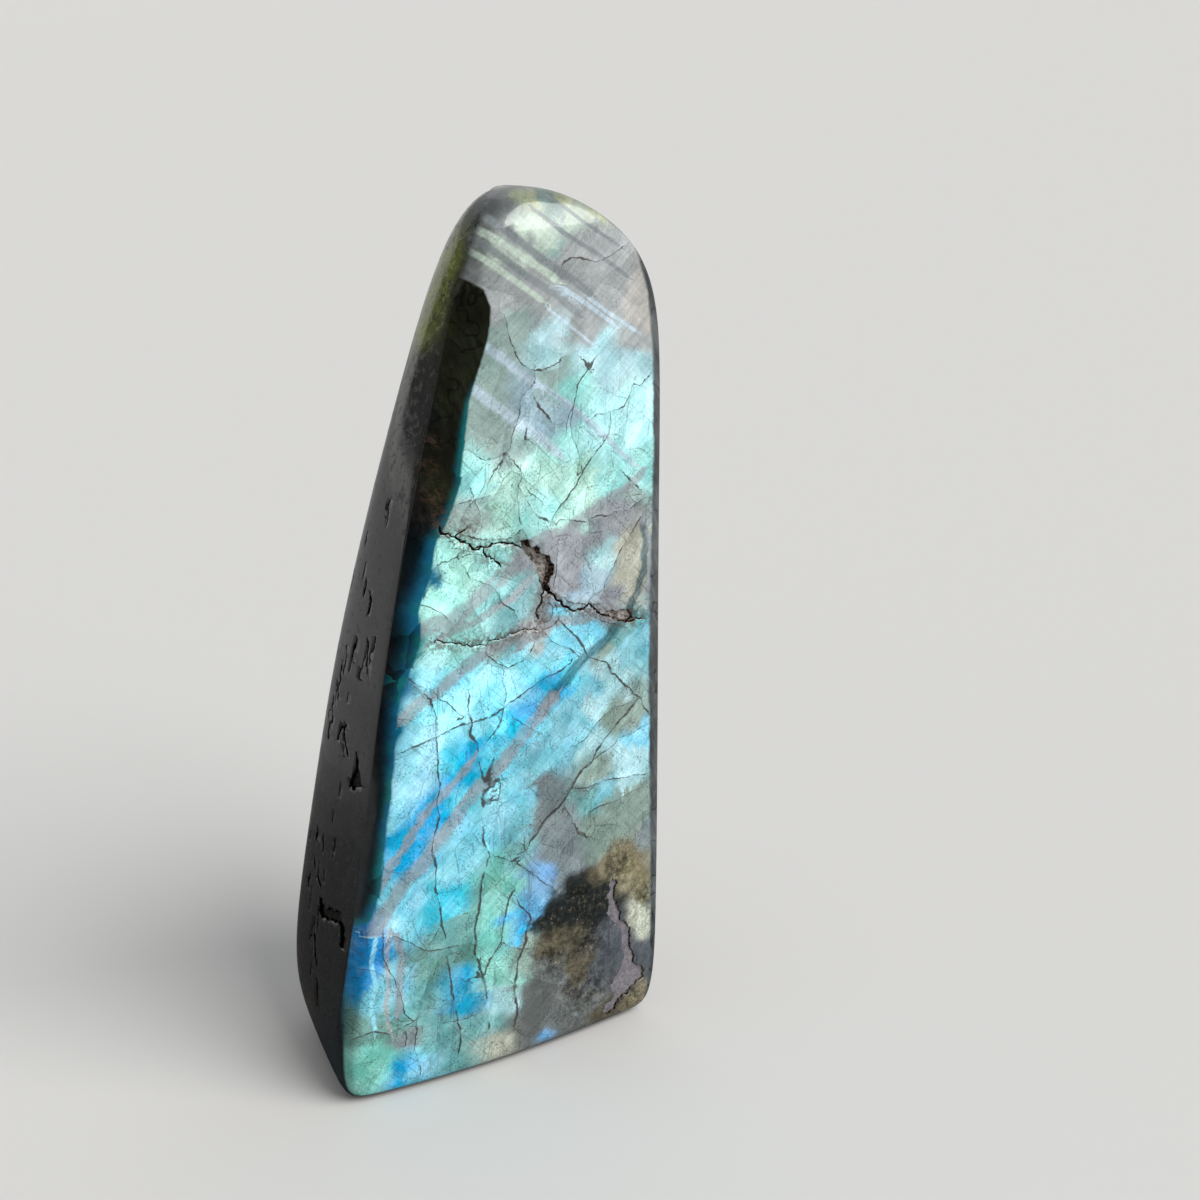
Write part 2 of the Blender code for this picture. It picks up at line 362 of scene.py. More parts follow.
def thin_lines(piece, axis, keep_every):
    """Dissolves the lines of one direction that the list doesn't keep. axis 0 is up the stone."""
    data = piece.data
    corner_uv = np.empty(len(data.loops) * 2, dtype=np.float32)
    data.uv_layers["lines"].data.foreach_get("uv", corner_uv)
    lines = corner_uv.reshape(-1, 2)[:, axis] * LINES_PER_CELL
    corner_edge = np.empty(len(data.loops), dtype=np.int32)
    data.loops.foreach_get("edge_index", corner_edge)
    following = np.arange(1, len(data.loops) + 1)
    for face in data.polygons:
        following[face.loop_start + face.loop_total - 1] = face.loop_start
    same_line = np.abs(lines - lines[following]) < 0.01
    number = np.rint(lines).astype(int)
    cell = np.clip(number // LINES_PER_CELL, 0, len(keep_every) - 1)
    step = np.array(keep_every)[cell]
    unwanted = same_line & (number >= 0) & (number % step != 0)
    chosen = np.zeros(len(data.edges), dtype=bool)
    chosen[corner_edge[unwanted]] = True
    edit_edges()
    bpy.ops.object.mode_set(mode="OBJECT")
    data.edges.foreach_set("select", chosen)
    bpy.ops.object.mode_set(mode="EDIT")
    bpy.ops.mesh.dissolve_edges(use_verts=True)
    bpy.ops.object.mode_set(mode="OBJECT")


def box_of(piece):
    places = np.array([vertex.co for vertex in piece.data.vertices])
    return places.min(axis=0), places.max(axis=0)


thin_lines(stone, 0, KEEP_EVERY_COLUMN)
thin_lines(stone, 1, KEEP_EVERY_ROW)
lowest, highest = box_of(stone)
middle = (lowest + highest) / 2
bpy.ops.object.mode_set(mode="EDIT")
bpy.ops.mesh.select_all(action="SELECT")
bpy.ops.transform.translate(value=(-middle[0], -middle[1], 0))
bpy.ops.object.mode_set(mode="OBJECT")
bpy.ops.object.shade_smooth()
print("thinned:", len(stone.data.polygons), "faces")

# %% [markdown]
# ## Open cracks and chips
#
# The polish has opened a few cracks and left some pits where the rock broke out. Bump alone would
# look painted on at the lips, so they are cut with Boolean, as in the solid. Each cutter starts as
# a small circle that is extruded along the crack. Its path is broken up at random, finer and finer,
# because rock never breaks in a straight line. The walls of the cut keep the cutter's own material.

# %% Find places on the stone
RAY_START = 60.0


def on_front(x, z):
    """The point of the broad face at x and z, in millimetres, and its normal."""
    _, spot, normal, _ = stone.ray_cast(Vector((x, -RAY_START, z)) * MM, Vector((0, 1, 0)))
    return spot, normal


def on_side(y, z):
    """The point of the narrow dark side at y and z, in millimetres, and its normal."""
    _, spot, normal, _ = stone.ray_cast(Vector((-RAY_START, y, z)) * MM, Vector((1, 0, 0)))
    return spot, normal


# %% List the open cracks
# a crack is its path, its width and its depth
OPEN_CRACKS = {
    on_front: [
        ([(-7.9, 77.8), (-6.1, 76.1), (-5.3, 75.3), (-3.5, 74), (-2.2, 74.2), (-1, 74.5), (0.2, 74.4),
          (1.3, 74.1), (2.4, 73.7), (3.9, 73.4)], 0.27, 0.6),
        ([(-6.2, 76), (-5.4, 76.5), (-4.2, 77.1)], 0.2, 0.4),
        ([(-3.6, 74.1), (-1.8, 72.8), (-0.7, 72.1), (0.1, 71)], 0.22, 0.5),
        ([(6.6, 66.9), (8, 65.3), (9, 64.3), (10.1, 63.6), (12.3, 63.2), (14.3, 62.7), (16.8, 61.2),
          (18.5, 60.4), (20.4, 59.9), (22, 59.8)], 0.28, 0.6),
        ([(6.4, 67.3), (5.9, 66), (5.4, 65), (5.3, 63.1)], 0.3, 0.5),
        ([(-9.9, 62.6), (-8.4, 62.4), (-6, 61.7), (-3.5, 61.4), (-1.3, 61.6), (0.5, 61.9), (2.1, 62.1),
          (3.6, 62), (5.2, 61.6)], 0.13, 0.4),
    ],
    on_side: [
        ([(2.2, 68), (2, 65.6)], 0.42, 0.4),
        ([(-0.1, 67), (-0.4, 63.8)], 0.5, 0.5),
        ([(2, 60.2), (2.3, 58.4), (1.9, 56.8)], 0.55, 0.5),
        ([(-1.4, 61.2), (-2.6, 59.4), (-3.9, 57)], 0.3, 0.4),
        ([(5.8, 55.4), (5.4, 52.6), (5, 50.2)], 0.42, 0.4),
        ([(6.6, 49.4), (6.2, 46.8), (6.4, 44.2)], 0.36, 0.4),
        ([(2.9, 45.4), (1.7, 47.8), (0.4, 46.4), (-1.4, 44.6)], 0.36, 0.4),
        ([(1.6, 47.4), (0.4, 48.4)], 0.35, 0.4),
        ([(6.1, 32), (5.8, 29.8)], 0.5, 0.5),
        ([(3.4, 31.8), (2.6, 29.6)], 0.5, 0.5),
        ([(5.6, 28), (4.5, 26.2)], 0.42, 0.4),
        ([(6.7, 25), (6.3, 22.8)], 0.5, 0.5),
        ([(3.6, 26.9), (1.3, 24.8)], 0.42, 0.4),
        ([(1.4, 18.6), (0.2, 16.6), (-1.4, 14.9)], 0.5, 0.5),
        ([(-1.6, 13.4), (-2.6, 11.4), (-2.4, 9.6)], 0.45, 0.4),
    ],
}
SLIT_COUNT = 30
SLIT_SEED = 23
# a chip is its rim, its depth and how far its floor stands in
CHIPS = {
    on_front: [
        ([(3, 74.3), (4.4, 74.1), (4.8, 73.1), (6, 72.8), (6.9, 71.7), (7.6, 70.6), (8, 69.6),
          (7.5, 68.6), (6.9, 67.8), (7.1, 66.2), (6, 66.9), (5.5, 68.8), (5.1, 70.1), (4.3, 71.4),
          (3.4, 72.8)], 1.2, 0.25),
        ([(15.6, 62.1), (17, 62.3), (18.9, 61.9), (20.3, 61), (20.6, 60.1), (18.8, 59.8), (16.8, 60.7)],
         0.5, 0.3),
        ([(15.6, 23.2), (16.1, 21.7), (16.5, 18.5), (16.8, 16.2), (17.8, 15.4), (18.4, 13.2), (18.8, 9.1),
          (20.6, 5.9), (18.4, 5.1), (16.1, 3.9), (14.3, 1.9), (13.4, 2.5), (15.2, 4.8), (15.8, 8.1),
          (16.6, 9.6), (16.7, 12.5), (16, 15.4), (14.8, 19.2), (14.4, 20.7), (14.9, 22.5)], 0.3, 0.12),
    ],
    on_side: [
        ([(-3.4, 46.4), (-5.2, 45.6), (-7.4, 42.9), (-5.4, 42), (-3.2, 40.9), (-3.6, 43.5)], 0.5, 0.35),
        ([(1.2, 23.8), (-1.6, 23.3), (-4.2, 24.2), (-6.6, 25), (-8.4, 23.9), (-8.5, 20.9), (-7.6, 21),
          (-7.3, 22.8), (-6.2, 23.4), (-4.2, 22.7), (-1.7, 21.9), (0.9, 22.4)], 0.55, 0.15),
    ],
}

# %% Make a cutter for each
LIFT = 0.4
FINEST_STEP = 0.45
LONGEST_STEP = 1.5 * FINEST_STEP
ROUGHNESS_OF_BREAK = 0.16
END_SHARE = 0.25
UNEVEN_WIDTH = (0.6, 1.35)
UNEVEN_DEPTH = (0.8, 1.2)
dice = random.Random(11)
polish = simple_material("labradorite polish", (0.19, 0.40, 0.43, 1), 0.12)
broken_rock = simple_material("broken rock", (0.16, 0.15, 0.13, 1), 0.85, specular=0.2)
stained_and_shaded_wall = simple_material("stained and shaded wall", (0.02, 0.016, 0.012, 1), 0.9, specular=0)


def as_vectors(path):
    return [Vector(place) for place in path]


def broken_up(path, closed=False):
    """The path with each piece split in two until it is short, each new point pushed aside."""
    places = as_vectors(path + path[:1] if closed else path)
    while max((b - a).length for a, b in zip(places, places[1:])) > LONGEST_STEP:
        finer = [places[0]]
        for a, b in zip(places, places[1:]):
            if (b - a).length > FINEST_STEP:
                aside = Vector((a.y - b.y, b.x - a.x)) * dice.gauss(0, ROUGHNESS_OF_BREAK)
                finer.append((a + b) / 2 + aside)
            finer.append(b)
        places = finer
    return places[:-1] if closed else places


def crack_cutter(face, path, width, depth):
    """A wedge along the broken-up path, narrow at its ends and uneven in between."""
    spots = [face(*place) for place in broken_up(path)]
    wedge = []
    for number, (spot, normal) in enumerate(spots):
        behind = spots[max(number - 1, 0)][0]
        ahead = spots[min(number + 1, len(spots) - 1)][0]
        across = normal.cross(ahead - behind).normalized()
        share = END_SHARE if number in (0, len(spots) - 1) else dice.uniform(*UNEVEN_WIDTH)
        reach = across * share * width / 2 * (depth + LIFT) / depth * MM
        deepest = spot - normal * depth * share * MM
        wedge.append([spot + normal * LIFT * MM - reach, spot + normal * LIFT * MM + reach, deepest])
    cut = loft("crack cutter", wedge, in_triangles=True)
    cut.data.materials.append(stained_and_shaded_wall)
    return cut


def chip_cutter(face, rim, depth, inset):
    """A shallow well with a broken-up rim, whose floor stands in from it."""
    places = broken_up(rim, closed=True)
    pairs = zip(places, places[1:] + places[:1])
    inwards = math.copysign(1, sum(a.x * b.y - a.y * b.x for a, b in pairs))
    top, bottom = [], []
    for number, place in enumerate(places):
        along = (places[(number + 1) % len(places)] - places[number - 1]).normalized()
        inner = place + Vector((-along.y, along.x)) * inwards * inset
        spot, normal = face(*place)
        top.append(spot + normal * LIFT * MM)
        spot, normal = face(*inner)
        bottom.append(spot - normal * depth * dice.uniform(*UNEVEN_DEPTH) * MM)
    well = loft("chip cutter", [top, bottom], in_triangles=True)
    well.data.materials.append(broken_rock)
    well.data.materials.append(stained_and_shaded_wall)
    for polygon in well.data.polygons:
        is_wall = min(polygon.vertices) < len(top) <= max(polygon.vertices)
        polygon.material_index = int(is_wall)
    return well


def random_slits():
    """Thin upright slits on the dark side, most of them near its middle."""
    chance = random.Random(SLIT_SEED)
    slits = []
    for _ in range(SLIT_COUNT):
        y, z, length = chance.gauss(2.2, 2.8), chance.uniform(12, 90), chance.uniform(0.9, 4.2)
        lean = length * chance.uniform(-0.2, 0.12)
        path = [(y, z), (y + lean * chance.uniform(0.2, 0.8), z + length / 2), (y + lean, z + length)]
        slits.append((path, chance.uniform(0.12, 0.26), 0.3))
    return slits


cutters = [crack_cutter(face, *crack) for face, cracks in OPEN_CRACKS.items() for crack in cracks]
cutters += [crack_cutter(on_side, *slit) for slit in random_slits()]
cutters += [chip_cutter(face, *chip) for face, chips in CHIPS.items() for chip in chips]
print(len(cutters), "cutters")

# %% Cut them out
uncut_normals = [vertex.normal.copy() for vertex in stone.data.vertices]
uncut_places = KDTree(len(uncut_normals))
for vertex in stone.data.vertices:
    uncut_places.insert(vertex.co, vertex.index)
uncut_places.balance()

stone.data.materials.append(polish)


def apply_boolean(piece, operation, other, other_crosses_itself):
    deselect_all()
    piece.select_set(True)
    bpy.context.view_layer.objects.active = piece
    change = piece.modifiers.new(operation, "BOOLEAN")
    change.operation = operation
    change.object = other
    change.use_self = other_crosses_itself
    change.material_mode = "TRANSFER"
    bpy.ops.object.modifier_apply(modifier=change.name)
    bpy.data.objects.remove(other)


first_cutter, *other_cutters = cutters
deselect_all()
for cutter in other_cutters:
    cutter.select_set(True)
bpy.context.view_layer.objects.active = other_cutters[0]
bpy.ops.object.join()
apply_boolean(first_cutter, "UNION", bpy.context.active_object, other_crosses_itself=True)
apply_boolean(stone, "DIFFERENCE", first_cutter, other_crosses_itself=False)
broken_faces = [face for face in stone.data.polygons if face.material_index > 0]
print("after cutting:", len(stone.data.polygons), "faces,", len(broken_faces), "of them broken rock")

# %% [markdown]
# ## Where the flash has which colour
#
# The flash is a mosaic: each layer in the crystal throws back the colour that fits its thickness.
# A painter would block it in with soft spots and then draw bands and cracks over them. The code
# does the same on the mesh's own points. Each colour of a small palette has its spots, each with a
# place on the broad face in millimetres of x and z, and a radius. Between spots the colours run into
# each other.

# %% Mix a palette
def linear(red, green, blue):
    """A colour as a screen shows it, 0 to 255, made linear for the shader."""
    shares = [channel / 255 for channel in (red, green, blue)]
    return [share / 12.92 if share <= 0.04045 else ((share + 0.055) / 1.055) ** 2.4 for share in shares]


# The haze colours are partly the stone's own milkiness and partly a painted reflection of the pale room in
# the polish, mostly at the top of the broad face.
SCREEN_COLOURS = {
    "pale gold": (200, 208, 172), "white mint": (196, 214, 200), "haze": (157, 163, 164),
    "warm haze": (186, 184, 180), "sage": (148, 172, 168), "pale aqua": (172, 214, 222),
    "ice": (186, 244, 248), "mint": (176, 224, 212), "bright mint": (184, 248, 238),
    "aqua": (158, 224, 222), "lilac": (146, 152, 158), "blue lilac": (158, 186, 200),
    "sand": (178, 180, 166), "sky": (138, 214, 238), "bright cyan": (150, 234, 250),
    "cyan": (76, 206, 236), "deep cyan": (30, 158, 205), "azure": (54, 174, 226),
    "vivid blue": (34, 146, 214), "pale blue": (150, 218, 236), "steel": (126, 194, 212),
    "grey": (122, 134, 138), "sea green": (130, 152, 144), "mint green": (124, 196, 184),
    "lavender": (108, 162, 204), "teal": (112, 168, 170), "deep teal": (100, 148, 140),
    "beige": (176, 180, 166), "smoke": (98, 103, 102), "slate": (76, 82, 88), "moss": (26, 32, 32),
    "brown gold": (88, 83, 68), "tan": (128, 122, 98), "olive": (92, 100, 34), "black": (20, 21, 22),
    "ocean": (24, 112, 150), "sea": (20, 118, 124), "dark sea": (10, 28, 34), "olive black": (31, 34, 23),
    "rust black": (38, 31, 26), "side grey": (84, 88, 90), "back grey": (44, 50, 52),
    "deep sea": (38, 82, 92), "pale bar": (186, 208, 222), "grey bar": (126, 134, 138),
}
PALETTE = {name: linear(*colour) for name, colour in SCREEN_COLOURS.items()}
SPOTS = {
    "pale gold": [(8.5, 118.4, 1.3), (13.5, 117.2, 1.2), (17.6, 114.6, 0.9)],
    "haze": [(2, 117, 2), (5.6, 112.4, 1.2), (14, 110, 3), (8, 107, 3), (3, 105, 2.5), (18, 106, 3),
        (14, 101, 2.5), (22, 98, 2)],
    "white mint": [(3.4, 110.6, 1.2), (8, 113.4, 1.8), (14, 113.4, 1.6)],
    "sage": [(10, 116, 1.5), (11, 111.4, 1.5), (4, 101, 2.5), (9, 94, 2), (0, 91, 2.5), (-2, 96, 2),
        (1, 87, 2), (-3, 79, 2), (20, 77.5, 1.5), (1.4, 59.4, 1.2), (-1, 60.2, 0.9)],
    "warm haze": [(23, 103, 2.5), (5, 61, 1)],
    "pale aqua": [(8, 99, 2.5), (17, 97, 2.5), (21, 95, 2), (15, 70, 1.5), (13, 49, 1.8), (17, 52, 2),
        (14, 43.5, 1.5), (19, 40, 2), (19.5, 37, 1.6), (-4, 11, 1.5)],
    "blue lilac": [(5, 92, 2), (9, 90, 2), (13, 66, 2)],
    "ice": [(22, 88, 3), (16, 88, 2), (19, 84, 2)],
    "aqua": [(14, 92, 2), (-3, 84, 2), (11, 86, 2), (22, 81, 2), (17, 80, 2), (6, 78, 2), (-1, 71, 2),
        (-4, 65.5, 2), (-9, 60.5, 2), (-4, 60.5, 1.5)],
    "mint": [(2, 82, 2), (7, 83, 2), (12, 81, 2.5), (1, 79, 2), (11, 77, 2)],
    "lilac": [(17, 75.5, 2), (3.5, 71, 1), (10, 71, 2.5), (10, 67.5, 1.5), (16, 63, 1.5)],
    "bright mint": [(-6, 71, 2.5), (-8, 68, 2)],
    "teal": [(2, 69, 1.5), (0, 64.5, 1.5), (18.4, 59, 1.3), (12, 35.5, 1.5), (-8, 26, 1.5), (1, 31, 1.5),
        (-10, 22, 2), (-14, 11, 2), (-12, 6, 2), (-8, 6, 2)],
    "sand": [(20, 71, 1.6), (19, 66, 1.5)],
    "grey": [(6.6, 63.8, 1.1), (6, 40, 2), (5, 36, 2), (8, 30, 2.5), (7.5, 26.5, 1.5), (-17.5, 8, 1.2),
        (21, 28, 1.2)],
    "steel": [(1, 59, 1.5), (21, 56, 2), (12, 52, 2), (9, 49, 1.6), (6, 44, 2.5), (11, 47, 2),
        (1, 35, 1.5), (14, 35.8, 1.8), (-18, 18, 1.5), (-20.5, 14, 1.5), (-14.5, 3, 1.5)],
    "sky": [(9, 60, 2), (13, 59.5, 1.5), (-4, 50, 1.5), (21, 43, 1.5), (-16, 41, 1.5), (-14.5, 28.5, 2),
        (-6.5, 38, 1.8), (-7, 34, 2), (0, 39, 2), (-9, 31, 2), (-16, 26, 1.5), (-16.5, 5, 1)],
    "sea green": [(15.6, 57, 1.2), (19, 47, 2), (13, 39.5, 2), (14.5, 31.5, 2.5), (19.5, 33, 2.5),
        (0.5, 16.5, 1.5)],
    "bright cyan": [(-10, 56, 2.5), (-4, 56, 2.5), (3, 56.5, 2), (-8, 49, 2)],
    "cyan": [(1, 49, 1.6), (9, 55.6, 1.2), (-1, 49, 1.5), (-8, 46.5, 1.5), (-2, 44.5, 1.5), (-8, 40, 1.5),
        (-10.5, 27, 2)],
    "azure": [(3, 51.4, 1.7), (7, 53.4, 1.6), (-5, 46.5, 2), (-11, 42, 1.5), (-15.5, 34.5, 1.8),
        (-11.5, 39, 1.5), (-0.5, 20, 1.3), (-2, 22.5, 1), (-7.5, 15.5, 1), (-18.5, 3.4, 1)],
    "pale blue": [(-13, 50, 2), (-14.5, 45, 2), (-17.5, 39, 1), (-18, 25, 1.2)],
    "mint green": [(-3, 28, 2), (-4, 23, 2), (-3, 15, 1.8), (-22.5, 7, 2)],
    "lavender": [(3.5, 27, 2), (2.5, 23.5, 1.5), (3.2, 3.2, 0.9)],
    "vivid blue": [(-22, 22, 2), (-22.5, 18.5, 1.5)],
    "deep teal": [(-14, 18, 2), (-8, 19, 1.5), (-20, 11, 1.5), (-24, 12, 1.5)],
    "deep cyan": [(-9.5, 14, 1.8)],
    "beige": [(-3.5, 4, 1.5), (21, 16, 1.4)],
    "ocean": [(-10.8, 75, 1), (-11.5, 70.5, 2), (-15.4, 57, 1.5), (-17, 51, 1.3), (-20, 36, 1.3)],
    "sea": [(-13.2, 66, 1.5), (-13.2, 62, 1.3), (-18.6, 44, 1.3)],
    "smoke": [(4, 10, 3), (9, 6, 3), (0, 5, 1.5)],
    "brown gold": [(9, 11, 2), (5, 15.8, 1.6), (9.5, 16.4, 1.6), (12.5, 24, 1.2), (13, 3.5, 1.8)],
    "moss": [(5.5, 20, 2.2), (9.5, 21.2, 2.6), (13, 20.4, 2.2), (12.4, 18.4, 1.4)],
    "tan": [(17, 25, 2), (21.5, 20, 1.4), (18.5, 3, 1.4)],
    "slate": [(14.5, 14, 2.2), (13, 9, 1.8), (19.5, 10, 1.6)],
}

# %% Blend the spots on the mesh's points
CLOUD_WARP = 1.6
CLOUDS_PER_MM = 0.35
CELL_WARP = 1.5
CELL_SIZE = 4.5
CELL_STRIDE = 97
MIDDLE = Vector((0.5, 0.5, 0.5))

places = np.array([vertex.co for vertex in stone.data.vertices]) / MM
normals = np.array([uncut_normals[uncut_places.find(vertex.co)[1]] for vertex in stone.data.vertices])


def pushed_by(place):
    """How far the colour pattern is pushed at a place: smoothly by a cloud, and cell by cell."""
    cloud = noise.noise_vector(place * CLOUDS_PER_MM) * CLOUD_WARP
    _, cell_centres = noise.voronoi(place / CELL_SIZE)
    return cloud + noise.cell_vector(cell_centres[0] * CELL_STRIDE) * CELL_WARP - MIDDLE * CELL_WARP


pushed = np.array([pushed_by(Vector(place)) for place in places])
on_face = (places + pushed)[:, [0, 2]]

SHARPNESS = 3.2
CORE = 0.12


def blend_spots(spots, where):
    """The colour at each point of where, from spots with a palette name, a place and a radius."""
    total = np.zeros((len(where), 3))
    weights = np.full(len(where), 1e-9)
    for name, discs in spots.items():
        for *centre, radius in discs:
            far = ((where - centre) ** 2).sum(axis=1) / radius ** 2
            weight = 1 / (CORE + far) ** SHARPNESS
            total += weight[:, None] * np.array(PALETTE[name])
            weights += weight
    return total / weights[:, None]


def ease(values, low, high):
    share = np.clip((values - low) / (high - low), 0, 1)
    return share * share * (3 - 2 * share)


# Painted shade: the flash is darkened where the surface turns upwards or to the left, so the top and left
# rims read darker.
TOP_RIM_SHADE = 0.6
LEFT_RIM_SHADE = 0.5
BACK_TURNS = np.array([-0.9, -1.0])
BACK_STARTS = np.array([3.0, 116.0])

faces_back = normals[:, 1] > 0
on_face[faces_back] = on_face[faces_back] * BACK_TURNS + BACK_STARTS
flash = blend_spots(SPOTS, on_face)
towards_top = ease(normals[:, 2], 0.35, 0.85)
towards_left = ease(-normals[:, 0], 0.15, 0.6)
painted_rim_shade = (1 - TOP_RIM_SHADE * towards_top) * (1 - LEFT_RIM_SHADE * towards_left)
flash *= painted_rim_shade[:, None]
print("the flash runs from", flash.min(axis=0).round(2), "to", flash.max(axis=0).round(2))

# %% [markdown]
# ## Where the dark body shows
#
# Seen along the layers, labradorite is just a dark grey rock. So the narrow side is black with some
# olive green near its top, the round front edge is dark too, and the right side is grey. These body
# colours are blended in the same way, but from spots in space. How much of the flash shows is a
# second value: all of it on the broad face, some on the back, and none on the sides.

# %% Blend the body and the share of flash
BODY_SPOTS = {
    "black": [(-22, 2, 18, 8), (-19, 2, 38, 12), (-14, 2, 58, 12), (-10, 2, 78, 10), (-6, 2, 92, 5),
        (2, 6, 112, 4)],
    "olive": [(-4, 2, 102, 3.6), (-2, 1, 107, 3.6), (0, 3, 111.5, 2.4)],
    "side grey": [(1, -7, 113, 1.6), (4, -3, 118, 1.6), (25, 0, 100, 8), (26, 0, 75, 10), (25, 0, 50, 10),
        (24, 0, 25, 8), (22, 0, 5, 6), (16, 0, 116, 4)],
    "rust black": [(-24, 6, 14, 4), (-25, 0, 8, 3)],
    "olive black": [(-7, -11, 84, 4), (-3, -10, 96, 4), (0, -8, 106, 3)],
    "dark sea": [(-10, -12, 74, 4), (-13, -13, 64, 4), (-16, -14, 54, 4), (-19, -15, 42, 4),
        (-21, -15, 32, 4), (-26, -12, 6, 4), (0, 0, -8, 8)],
    "back grey": [(8, 10, 95, 10), (6, 14, 65, 12), (2, 16, 30, 14)],
}
BACK_SHARE = 0.42
TOP_COUNTS = 0.3

body = blend_spots(BODY_SPOTS, places)
towards_front = -normals[:, 1] + TOP_COUNTS * normals[:, 2]
flash_share = ease(towards_front, 0.28, 0.58) + BACK_SHARE * ease(normals[:, 1], 0.55, 0.9)
print("the flash shows on", round(100 * float((flash_share > 0.5).mean())), "percent of the points")

# %% [markdown]
# ## Lines that keep their sharpness
#
# Bands and cracks are finer than the mesh. Painted straight onto its points they would blur. So each
# point keeps how far it is from the nearest line, with a sign for the side. Between two points on
# either side of a line that number passes zero exactly on it, and the shader can draw the line as
# thin as it likes. Lines that cross are kept in different layers, so that they don't disturb each other.

# %% List the bands
# a band is its colour, half its width and its path
BANDS = [
    ("lilac", 1.05, [(-12.5, 64), (-8, 65.2), (-4, 67.2), (0, 69.6), (5, 73)]),
    ("lilac", 0.6, [(-9, 63.1), (-4, 64.4), (0, 66.2), (4.6, 69)]),
    ("lilac", 0.85, [(-14.5, 53), (-10, 55.7), (-7, 58), (-3, 60.1), (2, 61.6), (8, 62.6)]),
    ("lilac", 0.6, [(2, 60), (6, 61.2), (10, 62), (15, 62.2)]),
    ("lilac", 1.0, [(-20.5, 24.5), (-19, 27.4), (-16, 31.2), (-12, 35), (-8, 38.8), (-4, 42.3), (0, 45.5),
                    (4, 49.2), (7, 51.8)]),
    ("deep sea", 0.8, [(5, 50.2), (8, 53), (12.5, 56.7), (17, 59.4), (20, 60.8)]),
    ("deep sea", 0.6, [(22.6, 73), (22.9, 70), (22.4, 66.6), (21.2, 63.6), (19.6, 61.4)]),
    ("lilac", 0.5, [(23.2, 72), (23.4, 66), (23.1, 61)]),
    ("lilac", 0.6, [(-19, 31), (-17.5, 34), (-14, 38), (-11, 41), (-8, 43.4), (-5.5, 45.6)]),
    ("lilac", 1.2, [(8, 69), (12, 71.6), (16, 73), (23.5, 74.2)]),
    ("lilac", 0.7, [(6, 74.4), (12, 75.6), (17, 77.6), (22.5, 80)]),
    ("grey bar", 0.55, [(1, 116.2), (4.2, 113.4), (8.5, 109.6), (12, 107.2), (15, 105)]),
    ("grey bar", 0.5, [(-1.2, 113.9), (2.4, 110.9), (6, 107.9), (10, 105.2), (13, 102.6)]),
    ("grey bar", 0.3, [(8, 116), (12, 112.6), (17, 109.4), (21, 106.4)]),
    ("grey bar", 0.25, [(11, 117), (15, 113.8), (20, 110.4)]),
    ("white mint", 0.5, [(-1.4, 115.4), (6, 110.1), (10.4, 107)]),
    ("white mint", 0.4, [(-2.4, 112.8), (1.4, 109.8), (5, 107), (8, 104.6)]),
    ("pale bar", 0.3, [(11, 106), (15, 103.2), (18.5, 100.5)]),
    ("pale bar", 0.25, [(15, 104.2), (18, 101.9), (22, 99.2)]),
    ("pale bar", 0.2, [(8.5, 103.8), (12.5, 100.5), (15, 98.4)]),
    ("pale bar", 0.6, [(-0.8, 100.2), (2, 98), (4.5, 95.8), (6.5, 94.2)]),
    ("pale bar", 0.7, [(-2.6, 95), (0, 92.6), (3, 90.2), (6, 87.8), (9, 85)]),
    ("pale bar", 0.35, [(3, 96.8), (7, 94), (11, 91.2), (15, 87.6), (19, 83.6), (21.4, 81.4)]),
    ("blue lilac", 0.25, [(8, 93.4), (12, 90), (16, 86)]),
    ("pale blue", 0.3, [(-20.6, 23.6), (-21.2, 17), (-21.8, 11)]),
    ("haze", 0.35, [(-18.9, 24), (-19.4, 17), (-19.8, 10.4)]),
    ("lilac", 0.6, [(-17.9, 23.4), (-17.8, 18), (-18.3, 13)]),
    ("pale aqua", 0.35, [(17.4, 42), (17.2, 38), (17.6, 35.4)]),
    ("pale aqua", 0.3, [(19.8, 42), (19.6, 37.6)]),
]

